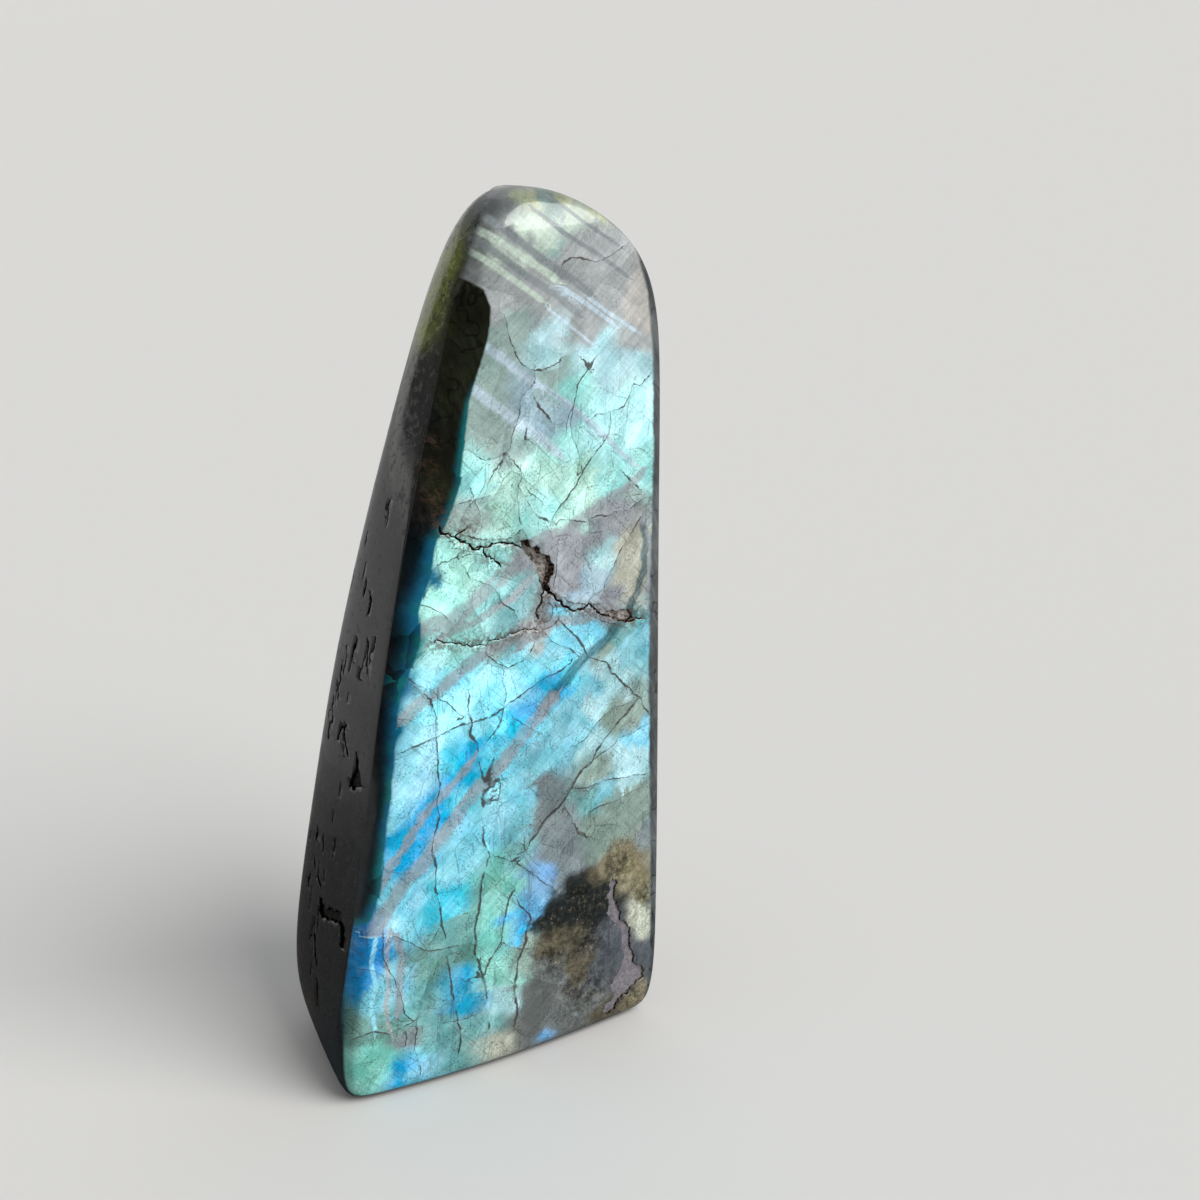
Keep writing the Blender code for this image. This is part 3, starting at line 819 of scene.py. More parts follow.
# %% List the fine cracks
# a fine crack is its width and its path
FINE_CRACKS = [
    (0.16, [(11.5, 109.2), (14, 109.4), (16.5, 108.7), (18.5, 109.2), (20.5, 110)]),
    (0.12, [(2.6, 103.2), (3, 101), (3.8, 98.6), (5, 96.6), (6.3, 95.8), (8, 96), (9.5, 96.4), (10.6, 97)]),
    (0.14, [(6.3, 95.8), (6.5, 94.2), (4.6, 93.4), (4, 92.4), (4, 91), (3.6, 89.8), (2.8, 88.6), (2.4, 86.4),
            (1.4, 86), (0, 85.4), (-1.8, 85.4), (-2.4, 86.2), (-3.6, 87.2), (-4, 88.6)]),
    (0.3, [(6.4, 91.8), (7.2, 90.6), (8.4, 89.4)]),
    (0.34, [(13.6, 96.4), (14.4, 95.4), (15, 96)]),
    (0.13, [(14.4, 95.4), (13.2, 94.2), (12.4, 93), (11.8, 90.6), (11, 89.6), (10.6, 88)]),
    (0.14, [(14, 88.4), (15.4, 89.2), (17.6, 89.2), (19.6, 89.4), (20.6, 90.6), (21.4, 92.4), (22.4, 91.8),
            (24, 93)]),
    (0.3, [(4.6, 87.8), (4.4, 86.6), (5, 87)]),
    (0.17, [(1.4, 86), (2.6, 85), (3.6, 83.6), (3.2, 81.4), (4.2, 79.6), (5, 78.2), (7, 76.4), (8.4, 75.6)]),
    (0.11, [(-1.4, 81.4), (0, 84), (1.4, 86)]),
    (0.15, [(8, 76.4), (10, 78.4), (12, 80.4), (14.2, 83.4), (15.6, 84.6)]),
    (0.2, [(19.4, 80.6), (20.6, 79.4), (21.8, 78.2)]),
    (0.15, [(-7, 75.4), (-4.8, 71.6), (-3, 69.8), (0, 66.3), (2.4, 63.4)]),
    (0.1, [(-11, 71.6), (-8, 73), (-5, 74.4)]),
    (0.12, [(-12.4, 69.4), (-10, 67.4), (-7.4, 65.2)]),
    (0.13, [(6.4, 60.8), (8.6, 58.8), (11, 57)]),
    (0.22, [(8.4, 62.6), (10, 60.6), (12, 58), (14.2, 55.6), (16.5, 53.2), (18.6, 51), (20.2, 49.2),
            (21.4, 48.4), (22.6, 46)]),
    (0.1, [(13.2, 61), (12.8, 59), (13.4, 57.4)]),
    (0.15, [(-14.4, 59.3), (-12, 57), (-9.6, 55), (-7.4, 52.8), (-5.4, 51.2)]),
    (0.26, [(-10.8, 55), (-10.4, 50), (-10.5, 45), (-11, 41), (-11.4, 37), (-11.6, 32), (-11.4, 26),
            (-11, 22), (-10.8, 17), (-10.2, 10), (-10.2, 4)]),
    (0.36, [(-5.4, 54.5), (-5.2, 51), (-4.6, 48), (-4.4, 44), (-4.6, 40), (-4.2, 37.6), (-4.6, 34),
            (-3.8, 32), (-4.6, 30), (-5.4, 27.4), (-6, 24), (-6.6, 20), (-6.4, 17), (-5.8, 14), (-5.6, 10),
            (-6.2, 4)]),
    (0.2, [(-14.6, 48.9), (-10, 50), (-5, 51), (-0.5, 52.1), (2, 53.2), (6, 55), (10, 56.2)]),
    (0.14, [(-0.3, 57), (0, 54), (-0.6, 52), (-1, 50.4), (-1.8, 49), (-3.2, 48)]),
    (0.1, [(0.4, 50.8), (3, 48.6), (4.6, 47.4)]),
    (0.26, [(21, 48.4), (19, 46.8), (16.4, 45), (13.6, 42.6), (11, 40.4), (9, 38), (7, 36), (4.4, 34.4),
            (2.4, 32.4), (1, 30), (0.2, 28), (-0.6, 25.6), (-1.8, 23.4), (-2.8, 19), (-4.6, 17), (-6, 14.6)]),
    (0.1, [(10, 44.2), (13, 46), (16.6, 48.2), (20.6, 48.6)]),
    (0.12, [(22.2, 44.2), (19.5, 43.6), (16, 42.4), (13, 41.4), (10.4, 39.8)]),
    (0.12, [(15.6, 65.4), (17.4, 68.2), (19.6, 71.2), (22, 74)]),
    (0.15, [(3, 80), (3.1, 77), (3.6, 75.4), (4.2, 74.4)]),
    (0.14, [(8.6, 76.1), (10, 76), (13, 75), (15.2, 75.6), (18, 75.6), (20, 75.4), (22.4, 76.4)]),
    (0.11, [(-3.8, 32), (-1, 30.4), (1, 29), (3, 27), (5.6, 24.6)]),
    (0.26, [(0, 24), (1, 22.4), (2, 21.4), (1, 19.4), (0.4, 17), (-0.8, 13.6), (-1.4, 10.6), (-1.6, 6)]),
    (0.13, [(-2.8, 19), (-1, 17.2), (0.4, 17)]),
    (0.12, [(-9.8, 15.4), (-7.6, 13.6)]),
    (0.12, [(-18, 23.6), (-15, 21.4), (-13, 20.2), (-8, 20)]),
    (0.1, [(-23, 19.8), (-20, 18.4)]),
    (0.25, [(8.1, 35.8), (8.8, 34.4)]),
    (0.3, [(9.6, 32.8), (11.2, 30.8)]),
    (0.12, [(10, 38), (14, 38), (18, 37.4), (21.5, 37)]),
    (0.1, [(12, 34), (16, 34.4), (20, 35.2)]),
    (0.14, [(-19.6, 24), (-18.8, 18), (-17.6, 12), (-17.8, 8)]),
    (0.14, [(-16, 11), (-16.6, 7), (-15.8, 3)]),
    (0.1, [(-6, 9.8), (-9, 9), (-13, 9.6)]),
    (0.12, [(-24.4, 10.4), (-20, 10), (-16, 11)]),
    (0.12, [(-3, 38), (-1.6, 42), (-2.2, 46)]),
    (0.12, [(-2.8, 60), (-2, 59.2), (-1, 58.1), (0.5, 57.4), (1.8, 57.6), (3.4, 58.4), (4.1, 59.2),
            (4.8, 60.6)]),
    (0.12, [(8, 64.6), (8.4, 63), (7.4, 61.8), (5.8, 61.6), (5.1, 62.4)]),
    (0.1, [(5.7, 62.9), (5.8, 64.6), (6.6, 65.6), (7.5, 64.4), (7.3, 62.9), (6.4, 62.4), (5.7, 62.9)]),
    (0.12, [(-7.6, 77), (-5.8, 74.8), (-4.2, 73.6), (-2.6, 73.2)]),
    (0.1, [(-7, 78.4), (-5, 76.2), (-3, 75), (-0.4, 75), (2, 74.6)]),
    (0.12, [(8.6, 72.4), (8.4, 70.6), (8.2, 68.8), (7.6, 67.2)]),
    (0.1, [(8.6, 65.9), (10, 64.6), (12, 64), (14.4, 63.4)]),
    (0.1, [(14, 61.9), (15.6, 60.6), (17.4, 60), (19, 59.2)]),
    (0.1, [(-5.2, 80.2), (-3, 80.5), (-0.8, 80.8)]),
    (0.1, [(-3.5, 82.2), (-3, 80.5), (-2.5, 78.8)]),
    (0.09, [(-4.6, 79), (-3, 80.5), (-1.5, 82)]),
    (0.1, [(-5.2, 92), (-4.6, 88.6), (-3.6, 87.2)]),
    (0.12, [(3.6, 83.6), (4.4, 80.6), (6.6, 79)]),
    (0.1, [(12, 80.4), (12.4, 84), (11.4, 86.8), (11.8, 90.6)]),
    (0.1, [(17.6, 89.2), (17, 86), (15.6, 84.6)]),
]

# %% List the edges of the flash
VEIL_EDGE = [(-6, 120), (-6, 111), (-3.4, 108.4), (-1.4, 107.8), (0.2, 106.6), (0.9, 104.4), (0.3, 101),
             (-2.8, 93.3), (-4.7, 83.3), (-6.7, 78.5), (-8.5, 75.5), (-9.5, 71.5), (-11.4, 67),
             (-11.6, 63.4), (-12.9, 60), (-14.8, 55.6), (-17.1, 42.4), (-19.8, 29),
             (-21, 26.2), (-23, 24.6), (-24.6, 17), (-26.4, 9), (-28, 0)]
RIGHT_EDGE = [(15, 120), (19.4, 115.6), (22.8, 110.4), (24.4, 104), (24.9, 96), (24.6, 84), (24.2, 75),
              (23.4, 62), (22.9, 50), (22.7, 38), (22.5, 25), (21.8, 8), (20.5, -1)]
# how far the glow reaches at a height
GLOW_REACH = [(0, 0.4), (25, 0.9), (40, 1), (54, 1.2), (58, 1.8), (66, 2), (74, 1.6), (80, 1.2), (90, 1),
              (95, 0.5), (100, 0.01)]
STAIN_SPOTS = [(-7.6, 78.6, 1.8), (-6.4, 76.8, 1.2), (23.8, 75.6, 1.2), (19.6, 61, 1.6), (-8.4, 81.6, 1.3),
               (-8.2, 85.0, 1.0), (-7.4, 88.2, 0.8)]
MOSS_SPOTS = [(5, 19.5, 3.5), (9.5, 21.5, 4), (13.5, 21.5, 3.5), (16.5, 24.5, 3.5), (11, 15.5, 4.5),
              (5, 14, 4), (10, 8, 5), (18, 3.5, 3), (21, 18, 3)]

# %% Measure how far each point is from its lines
LINE_LAYERS = 3
BAND_LAYERS = 5
SEEN_WITHIN = 1.0
BEND = 0.09
LONGEST_CRACK_PIECE = 2.2
LONGEST_BAND_PIECE = 4
STRAIGHT_ABOVE = 90
NEVER_SPLIT = 99
FAR_ENOUGH = 9
STAIN_REACH = (-1.9, -0.2)
SILVER_RIGHT_OF = 11
SILVER_BELOW = 24.5


def bent(path, longest=LONGEST_CRACK_PIECE):
    """The path with its longer pieces split in two, each new point pushed aside a little."""
    points = as_vectors(path)
    finer = [points[0]]
    for a, b in zip(points, points[1:]):
        if (b - a).length > longest:
            aside = Vector((a.y - b.y, b.x - a.x)) * dice.gauss(0, BEND)
            finer.append((a + b) / 2 + aside)
        finer.append(b)
    return finer


def nearest_line(lines, spots):
    """For each spot the signed distance to the nearest of the lines, and that line's number."""
    best = np.full(len(spots), 1e3)
    number_of = np.zeros(len(spots), dtype=int)
    for number, path in enumerate(lines):
        for a, b in zip(path, path[1:]):
            along = np.array(b - a)
            share = np.clip(((spots - a) @ along) / (along @ along), 0, 1)
            gap = spots - (np.array(a) + share[:, None] * along)
            distance = np.hypot(gap[:, 0], gap[:, 1])
            side = np.sign(along[0] * gap[:, 1] - along[1] * gap[:, 0])
            closer = distance < np.abs(best)
            best = np.where(closer, distance * np.where(side == 0, 1, side), best)
            number_of[closer] = number
    return best, number_of


def soft_spots(spots):
    """How near each point is to one of the spots: 1 in the middle of it, and less further out."""
    shares = [np.exp(-((front_spots - (x, z)) ** 2).sum(axis=1) / radius ** 2) for x, z, radius in spots]
    return np.maximum.reduce(shares)


def keep(name, values, kind="FLOAT"):
    """Keeps one value or colour for each point of the mesh, for the shader to read."""
    attribute = stone.data.attributes.new(name, kind, "POINT")
    field = "color" if kind == "FLOAT_COLOR" else "value"
    attribute.data.foreach_set(field, np.ascontiguousarray(values, dtype=np.float32).ravel())


def with_alpha(colours):
    return np.hstack([colours, np.ones((len(colours), 1))])


front_spots = places[:, [0, 2]]
for layer in range(LINE_LAYERS):
    chosen = FINE_CRACKS[layer::LINE_LAYERS]
    side, number = nearest_line([bent(path) for _, path in chosen], front_spots)
    width = np.array([width for width, _ in chosen])[number]
    width[np.abs(side) > SEEN_WITHIN] = 0
    keep(f"crack_side_{layer}", side)
    keep(f"crack_width_{layer}", width)
for layer in range(BAND_LAYERS):
    chosen = BANDS[layer::BAND_LAYERS]
    paths = []
    for *_, path in chosen:
        is_low = path[0][1] < STRAIGHT_ABOVE
        paths.append(bent(path, LONGEST_BAND_PIECE if is_low else NEVER_SPLIT))
    side, number = nearest_line(paths, front_spots)
    half = np.array([half for _, half, _ in chosen])[number]
    half[np.abs(side) > SEEN_WITHIN + half] = 0
    colours = np.array([PALETTE[name] for name, _, _ in chosen])[number]
    keep(f"band_side_{layer}", side)
    keep(f"band_half_{layer}", half)
    keep(f"band_colour_{layer}", with_alpha(colours), "FLOAT_COLOR")
veil_side, _ = nearest_line([as_vectors(VEIL_EDGE)], front_spots)
right_side, _ = nearest_line([as_vectors(RIGHT_EDGE)], front_spots)
veil_side[faces_back] = -right_side[faces_back]
keep("veil_side", np.minimum(veil_side, FAR_ENOUGH))
keep("right_side", -right_side)
keep("glow_reach", np.interp(places[:, 2], *zip(*GLOW_REACH)))
keep("moss", np.where(faces_back, 0, soft_spots(MOSS_SPOTS)))
open_side, _ = nearest_line([as_vectors(path) for path, *_ in OPEN_CRACKS[on_front]], front_spots)
stain = np.maximum(ease(-np.abs(open_side), *STAIN_REACH), soft_spots(STAIN_SPOTS))
keep("stain", np.where(faces_back, 0, stain))
keep("on_flash", ease(towards_front, 0.35, 0.6))
silver = (front_spots[:, 0] > SILVER_RIGHT_OF) & (front_spots[:, 1] < SILVER_BELOW)
keep("silver", silver.astype(float))
keep("flash_share", flash_share)
keep("body", with_alpha(body), "FLOAT_COLOR")
keep("flash", with_alpha(flash), "FLOAT_COLOR")
print("kept", len(stone.data.attributes), "attributes on", len(places), "points")

# %% [markdown]
# ## Building the polish
#
# The rest of the pattern is finer than the mesh, so the shader draws it: grain, cleavage cells, thin
# broken cracks. A small class keeps that short. Each call adds one node, so the code reads like the
# chain of nodes that you would lay out by hand in the Shader Editor.

# %% A brush for shader nodes
class Brush:
    """Adds nodes to one material, a short call each. All sizes are in millimetres."""

    def __init__(self, material):
        self.tree = material.node_tree
        self.shader = self.tree.nodes["Principled BSDF"]
        place = self.add("TexCoord", {}, "Object")
        self.space = self.add("VectorMath", {0: place, "Scale": 1 / MM}, operation="SCALE")
        parts = [self.add("SeparateXYZ", {0: self.space}, axis) for axis in (0, 2)]
        self.face = self.add("CombineXYZ", dict(enumerate(parts)))

    def add(self, kind, inputs, output=0, **settings):
        node = self.tree.nodes.new("ShaderNode" + kind)
        column, row = divmod(len(self.tree.nodes), 8)
        node.location = (220 * column - 5000, -300 * row)
        for setting, value in settings.items():
            setattr(node, setting, value)
        for socket, value in inputs.items():
            if isinstance(value, bpy.types.NodeSocket):
                self.tree.links.new(value, node.inputs[socket])
            else:
                node.inputs[socket].default_value = value
        return node.outputs[output]

    def read(self, name, output="Fac"):
        return self.add("Attribute", {}, output, attribute_name=name)

    def calc(self, operation, *values):
        return self.add("Math", dict(enumerate(values)), operation=operation)

    def times(self, first, *others):
        for other in others:
            first = self.calc("MULTIPLY", first, other)
        return first

    def most(self, first, *others):
        for other in others:
            first = self.calc("MAXIMUM", first, other)
        return first

    def off_middle(self, value):
        """A value from 0 to 1, moved to run from -0.5 to 0.5."""
        return self.calc("SUBTRACT", value, 0.5)

    def step(self, value, low, high, start=0.0, end=1.0):
        """Eases from start to end while the value goes from low to high."""
        return self.add("MapRange", {0: value, 1: low, 2: high, 3: start, 4: end},
                        interpolation_type="SMOOTHSTEP")

    def noise(self, size, detail=2, rough=0.5, where=None, output=0, flat=True):
        """Cloudy noise with lumps of about this size, on the flat of the face or in space."""
        inputs = {"Vector": where or (self.face if flat else self.space), "Scale": 1 / size,
                  "Detail": detail, "Roughness": rough}
        return self.add("TexNoise", inputs, output, noise_dimensions="2D" if flat else "3D")

    def cells(self, size, where, feature="F1", output="Color"):
        return self.add("TexVoronoi", {"Vector": where, "Scale": 1 / size}, output, feature=feature,
                        voronoi_dimensions="2D")

    def along(self, turn, length, width):
        """The place on the face, so that a noise of size 1 gives streaks of this length and width."""
        inputs = {"Vector": self.face, "Rotation": (0, 0, math.radians(turn)), "Scale": (length, width, 1)}
        return self.add("Mapping", inputs, vector_type="TEXTURE")

    def warped(self, where, size, reach):
        """The place, moved about by up to reach, so that straight cell edges bend."""
        pushed = self.add("VectorMath", {0: self.noise(size, output=1), 1: (0.5, 0.5, 0.5)},
                          operation="SUBTRACT")
        moved = self.add("VectorMath", {0: pushed, "Scale": 2 * reach}, operation="SCALE")
        return self.add("VectorMath", {0: where, 1: moved}, operation="ADD")

    def mix(self, share, first, second):
        return self.add("Mix", {0: share, 6: first, 7: second}, 2, data_type="RGBA")

    def grainy(self, value, low, high, dark, light):
        """The dark colour where the value is low, and the light one where it is high."""
        return self.mix(self.step(value, low, high), dark, light)

    def shade(self, colour, factor):
        """The colour, made lighter or darker by a factor."""
        return self.add("VectorMath", {0: colour, "Scale": factor}, operation="SCALE")

    def channel(self, colour, number):
        return self.add("SeparateColor", {0: colour}, number)

    def lead_to(self, socket, value):
        """Leads a value into the material's own shader."""
        self.tree.links.new(value, self.shader.inputs[socket])

    def bump(self, height, strength, depth):
        inputs = {"Strength": strength, "Distance": depth * MM, "Height": height}
        self.lead_to("Normal", self.add("Bump", inputs))


brush = Brush(polish)
print("the brush is ready, with", len(polish.node_tree.nodes), "nodes")

# %% [markdown]
# ## Cells, streaks and grain
#
# Close up the flash isn't even. It steps in brightness from one cleavage cell to the next, has fine
# streaks along the layers, and is peppered with dark grains where tiny plates of ore catch no light.
# The sizes are those of the real mineral: cells of 2 to 7 mm, streaks and grains well under one.

# %% Vary the flash
BIG_CELL = 6.5
# each of these has a turn in degrees, a length and a width
SMALL_CELL = (64, 4.6, 2.0)
STREAK = (40, 6.0, 0.5)
CROSS_STREAK = (-42, 6.0, 0.55)

up = brush.add("SeparateXYZ", {0: brush.space}, "Z")
big_place = brush.warped(brush.face, 5.0, 1.0)
small_place = brush.warped(brush.along(*SMALL_CELL), 2.0, 0.25)
big = brush.channel(brush.cells(BIG_CELL, big_place), 0)
small_cells = brush.cells(1.0, small_place)
small = brush.channel(small_cells, 0)
small_hue = brush.channel(small_cells, 1)
clouds = brush.noise(4.5, 3, 0.55)
streaks = brush.noise(1.0, 4, 0.65, brush.along(*STREAK))
cross_streaks = brush.noise(1.0, 4, 0.65, brush.along(*CROSS_STREAK))
brightness = brush.times(
    brush.step(up, 78, 100, 1, 0.92), brush.step(big, 0, 1, 0.98, 1.26),
    brush.step(small, 0, 1, 0.91, 1.09), brush.step(clouds, 0.3, 0.7, 0.92, 1.2),
    brush.step(streaks, 0.3, 0.7, 0.9, 1.1), brush.step(cross_streaks, 0.3, 0.7, 1.06, 0.94))
hue = brush.calc("ADD", brush.step(big, 0, 1, -0.006, 0.006), brush.step(small_hue, 0, 1, 0.494, 0.506))
lively = brush.add("HueSaturation", {"Hue": hue, "Saturation": brush.step(clouds, 0.3, 0.7, 1.1, 0.9),
                                     "Value": brightness, "Color": brush.read("flash", "Color")})
print("cells, clouds and streaks are in")

# %% Draw the bands
BAND_SOFTNESS = 0.45
BAND_STRENGTH = 0.82

wobble = brush.off_middle(brush.noise(2.0, 3))
bend = brush.times(wobble, brush.step(up, 78, 94, 1.1, 0.12), brush.step(up, 24, 34, 0.2, 1))
streakiness = brush.step(up, 86, 96, 0.45, 0.7)
with_bands = lively
for layer in range(BAND_LAYERS):
    side = brush.calc("ADD", brush.read(f"band_side_{layer}"), bend)
    half = brush.read(f"band_half_{layer}")
    beyond = brush.calc("SUBTRACT", brush.calc("ABSOLUTE", side), half)
    soft = brush.times(half, BAND_SOFTNESS)
    strength = brush.times(brush.step(beyond, brush.times(soft, -1), soft, 1, 0),
                           brush.step(streaks, 0.25, 0.6, streakiness, BAND_STRENGTH),
                           brush.calc("GREATER_THAN", half, 0.01))
    colour = brush.shade(brush.read(f"band_colour_{layer}", "Color"), brightness)
    with_bands = brush.mix(strength, with_bands, colour)
print("bands are in")

# %% Pepper it with grains
GRAIN_SIZE = 0.3
GRAIN_DEPTH = 0.55

grains = brush.noise(GRAIN_SIZE, 3, 0.6)
grain_patches = brush.noise(3.0, 3)
grain_share = brush.times(brush.step(grains, 0.55, 0.68), brush.step(up, 80, 98, 1, 0.4),
                          brush.step(grain_patches, 0.38, 0.62, 0.12, GRAIN_DEPTH))
sparkle = brush.step(grains, 0.3, 0.42, 1.14, 1.0)
peppered = brush.shade(with_bands, brush.times(brush.calc("SUBTRACT", 1, grain_share), sparkle))
print("grains are in")

# %% [markdown]
# ## Cracks
#
# Three sorts of line cross the flash. Long cracks that every cell respects are the drawn lines. Hair
# cracks part the small cells, and straight cleavage lines run upright and aslant through everything.
# All are dark and a little brown, with gaps where they run deeper. Where a drawn crack offsets the
# layers the flash also changes in brightness from one side of it to the other.

# %% Draw cleavage and hair cracks
LENGTH_PER_SPACING = 14


def fine_lines(turn, spacing, thickness, patch_size):
    """Thin lines in one direction, where a stretched noise passes its middle value."""
    value = brush.noise(1.0, 2, 0.5, brush.along(turn, LENGTH_PER_SPACING * spacing, spacing))
    line = brush.step(brush.calc("ABSOLUTE", brush.off_middle(value)), 0, thickness, 1, 0)
    return brush.times(line, brush.step(brush.noise(patch_size), 0.48, 0.6))


small_edges = brush.cells(1.0, small_place, "DISTANCE_TO_EDGE", "Distance")
hair_gaps = brush.step(grain_patches, 0.42, 0.6)
big_edges = brush.cells(BIG_CELL, big_place, "DISTANCE_TO_EDGE", "Distance")
hair = brush.times(brush.step(small_edges, 0.008, 0.035, 0.3, 0), hair_gaps)
parting = brush.times(brush.step(big_edges, 0.004, 0.02, 0.4, 0), brush.step(hair_gaps, 0, 1, 0.25, 1))
hair = brush.times(brush.most(hair, parting), brush.step(up, 84, 100, 1, 0.25))
fewer_on_top = brush.step(up, 84, 100, 0.4, 0.1)
upright = brush.times(fine_lines(86, 1.3, 0.022, 4.0), fewer_on_top)
aslant = brush.times(fine_lines(-50, 1.5, 0.02, 5.0), fewer_on_top)
crack_share = brush.most(hair, upright, aslant)
print("hair cracks are in")

# %% Draw the long cracks
STEP_REACH = 1.8
STEP_CHANGE = 0.1
STAIN_BROWN = (0.13, 0.095, 0.07, 1)
CRACK_BLACK = (0.012, 0.02, 0.025, 1)
CRACK_BROWN = (0.06, 0.04, 0.025, 1)

crack_wobble = brush.times(brush.off_middle(brush.noise(0.7, 3)), 0.45)
crack_gaps = brush.step(brush.noise(1.6, 2), 0.34, 0.5, brush.step(up, 40, 60, 0.6, 0.35), 0.92)
uneven = brush.step(brush.noise(2.5, 2), 0.3, 0.7, 0.35, 1.1)
tone = 1.0
for layer in range(LINE_LAYERS):
    plain_side = brush.read(f"crack_side_{layer}")
    side = brush.calc("ADD", plain_side, crack_wobble)
    width = brush.times(brush.read(f"crack_width_{layer}"), uneven)
    share = brush.calc("DIVIDE", brush.calc("ABSOLUTE", side), brush.most(width, 0.02))
    there = brush.calc("GREATER_THAN", width, 0.005)
    line = brush.times(brush.step(share, 0.4, 1.2, 1, 0), there, crack_gaps)
    crack_share = brush.most(crack_share, line)
    fade = brush.step(brush.calc("ABSOLUTE", plain_side), 0.2, STEP_REACH, STEP_CHANGE, 0)
    tone = brush.times(brush.calc("MULTIPLY_ADD", brush.calc("SIGN", side), fade, 1), tone)
stain_share = brush.times(brush.read("stain"), brush.step(brush.noise(0.8, 4, 0.7), 0.42, 0.6, 0.05, 0.8))
stained = brush.mix(stain_share, brush.shade(peppered, tone), STAIN_BROWN)
crack_colour = brush.mix(clouds, CRACK_BLACK, CRACK_BROWN)
cracked = brush.mix(crack_share, stained, crack_colour)
print("cracks are in")

# %% [markdown]
# ## Moss, the dark body and the edges of the flash
#
# Low on the right the flash gives way to dark, mossy rock with gold-brown grains. The body has its
# own fine fabric of upright streaks. Last, the two meet: the edge of the flash is sharp and steps
# from cell to cell, and on the dark strip beside it a few blue cells still glow.

# %% Mix moss and body
MOSS_BLACK = (0.008, 0.011, 0.011, 1)
MOSS_GOLD = (0.17, 0.14, 0.09, 1)
PAINTED_GLINT = (0.6, 0.58, 0.5, 1)

moss_grains = brush.noise(0.8, 5, 0.75)
gold = brush.grainy(moss_grains, 0.5, 0.72, MOSS_BLACK, MOSS_GOLD)
moss = brush.read("moss")
moss_share = brush.step(brush.calc("ADD", moss, brush.times(wobble, 0.9)), 0.45, 0.95)
mossy = brush.mix(brush.times(moss_share, brush.step(clouds, 0.35, 0.65, 0.25, 0.75)), cracked, gold)
# Painted glints: a few tiny pale specks in the moss stand in for sparkles of light.
painted_glint_share = brush.times(brush.step(moss_grains, 0.7, 0.76), moss)
mossy = brush.mix(painted_glint_share, mossy, PAINTED_GLINT)
mottled = brush.step(brush.noise(1.3, 6, 0.8), 0.36, 0.64, 0.4, 1.8)
mossy = brush.shade(mossy, brush.calc("MULTIPLY_ADD", brush.calc("SUBTRACT", mottled, 1), moss, 1))

fabric_place = brush.add("Mapping", {"Vector": brush.space, "Rotation": (0, math.radians(-14), 0),
                                     "Scale": (0.5, 1.2, 6.0)}, vector_type="TEXTURE")
fabric = brush.noise(1.0, 4, 0.65, fabric_place, flat=False)
body_clouds = brush.noise(7.0, 5, 0.6, flat=False)
off_vein = brush.calc("ABSOLUTE", brush.off_middle(brush.noise(9.0, 3, 0.6, flat=False)))
body_factor = brush.times(brush.step(fabric, 0.3, 0.7, 0.66, 1.3), brush.step(off_vein, 0.002, 0.014, 0.4, 1),
                          brush.step(body_clouds, 0.35, 0.65, 0.6, 1.35))
dark_body = brush.shade(brush.read("body", "Color"), body_factor)
print("moss and body are in")

# %% Join flash and body
GLOW = 0.6
VEIN_BROWN = (0.07, 0.045, 0.03, 1)

edge_steps = brush.times(brush.off_middle(small), brush.step(up, 82, 96, 0.3, 0.05))
unevenness = brush.calc("ADD", edge_steps, brush.times(wobble, 0.3))
veil_side = brush.calc("ADD", brush.read("veil_side"), unevenness)
flash_full = brush.step(veil_side, -0.12, 0.25)
reach = brush.read("glow_reach")
glow_side = brush.calc("ADD", veil_side, brush.times(edge_steps, brush.step(reach, 1.3, 1.8, 0.4, 4)))
nearness = brush.step(glow_side, brush.times(reach, -1.4), brush.times(reach, 0.1))
glow = brush.times(nearness, brush.step(nearness, 0, 1, 0.3, GLOW), brush.step(reach, 0.3, 0.8))
bluer = brush.times(brush.step(clouds, 0.4, 0.6, 1, 0), brush.step(up, 76, 84, 1, 0.25))
glow_hue = brush.mix(bluer, (*PALETTE["sea"], 1), (*PALETTE["ocean"], 1))
glow_colour = brush.shade(glow_hue, brightness)
right = brush.step(brush.calc("ADD", brush.read("right_side"), brush.times(wobble, 0.5)), -0.2, 0.4)
shown = brush.times(right, brush.read("flash_share"))
glowing = brush.mix(brush.times(glow, shown), dark_body, glow_colour)
glowing = brush.mix(brush.times(stain_share, shown), glowing, VEIN_BROWN)
visible = brush.times(flash_full, shown)
# Painted shade: the colour is darkened in the last millimetre or so above the base, where the stone meets the
# floor.
stone_colour = brush.shade(brush.mix(visible, glowing, mossy), brush.step(up, 0.2, 1.3, 0.3, 1.0))
print("the polish has", len(polish.node_tree.nodes), "nodes")

# %% [markdown]
# ## Gloss
#
# The polish itself is clear and hard, so the mineral's own refraction sets how much it mirrors. It
# is dull only in the cracks and in some streaks of the dark body. It has the faint unevenness that
# hand polishing leaves, which bump gives without a single face more.

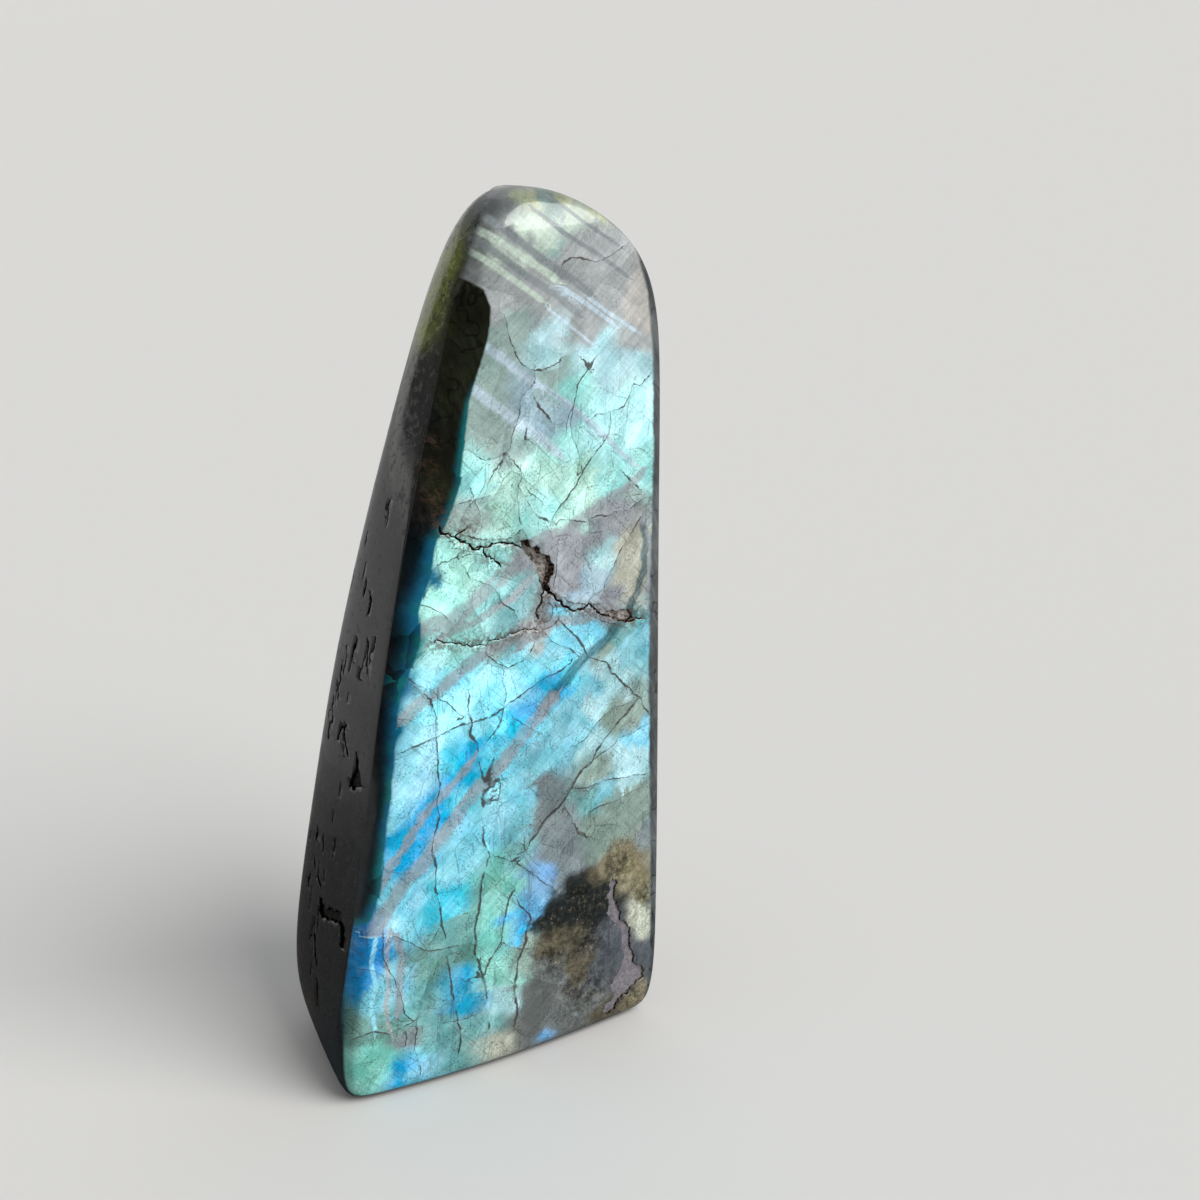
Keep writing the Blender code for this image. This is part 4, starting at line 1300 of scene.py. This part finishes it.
# %% Set the gloss
FELDSPAR_IOR = 1.56
POLISHED = (0.05, 0.14)
WORN = (0.05, 0.34)
CRACK_ROUGHNESS = 0.6

brush.lead_to("Base Color", stone_colour)
brush.shader.inputs["IOR"].default_value = FELDSPAR_IOR
even = brush.noise(2.5, 3, flat=False)
off_flash = brush.calc("SUBTRACT", 1, brush.read("on_flash"))
on_body = brush.times(brush.calc("SUBTRACT", 1, visible), off_flash)
rough = brush.most(brush.step(even, 0.3, 0.7, *POLISHED), brush.times(crack_share, visible, CRACK_ROUGHNESS),
                   brush.times(on_body, brush.step(fabric, 0.48, 0.64, *WORN)))
brush.lead_to("Roughness", rough)
height = brush.calc("ADD", brush.noise(8.0, 2, flat=False), brush.times(fabric, on_body, 0.12))
brush.bump(height, strength=0.25, depth=0.12)
print("the gloss is set")

# %% [markdown]
# ## The broken rock
#
# In the open cracks and chips there's no polish: the rock is grey-brown and rough, darker on the
# black side, with dark grains. Its faces come from the cutters, so they already have a broken form;
# a strong fine bump adds the grit.

# %% Colour the broken rock
rock = Brush(broken_rock)
grit = rock.noise(0.7, 5, 0.75, flat=False)
light_rock = rock.grainy(grit, 0.3, 0.7, (0.07, 0.058, 0.05, 1), (0.6, 0.56, 0.52, 1))
dark_rock = rock.grainy(grit, 0.35, 0.7, (0.006, 0.006, 0.006, 1), (0.04, 0.036, 0.03, 1))
silver_rock = rock.grainy(grit, 0.3, 0.7, (0.15, 0.14, 0.16, 1), (0.29, 0.275, 0.305, 1))
plain_rock = rock.mix(rock.read("on_flash"), dark_rock, light_rock)
rock.lead_to("Base Color", rock.mix(rock.read("silver"), plain_rock, silver_rock))
rock.bump(grit, strength=0.8, depth=0.3)
# The walls of the cracks and chips are a painted shade: near black on the dark side, and on the flash brown
# with black grains, partly a stain and partly shade.
deep = Brush(stained_and_shaded_wall)
deep_grit = deep.noise(0.35, 3, 0.7, flat=False)
brown = deep.grainy(deep_grit, 0.42, 0.62, (0.008, 0.007, 0.006, 1), (0.17, 0.12, 0.09, 1))
deep.lead_to("Base Color", deep.mix(deep.read("on_flash"), (0.004, 0.004, 0.004, 1), brown))
print("the broken rock has", len(broken_rock.node_tree.nodes), "nodes")

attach(stone, "root")
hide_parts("stone")
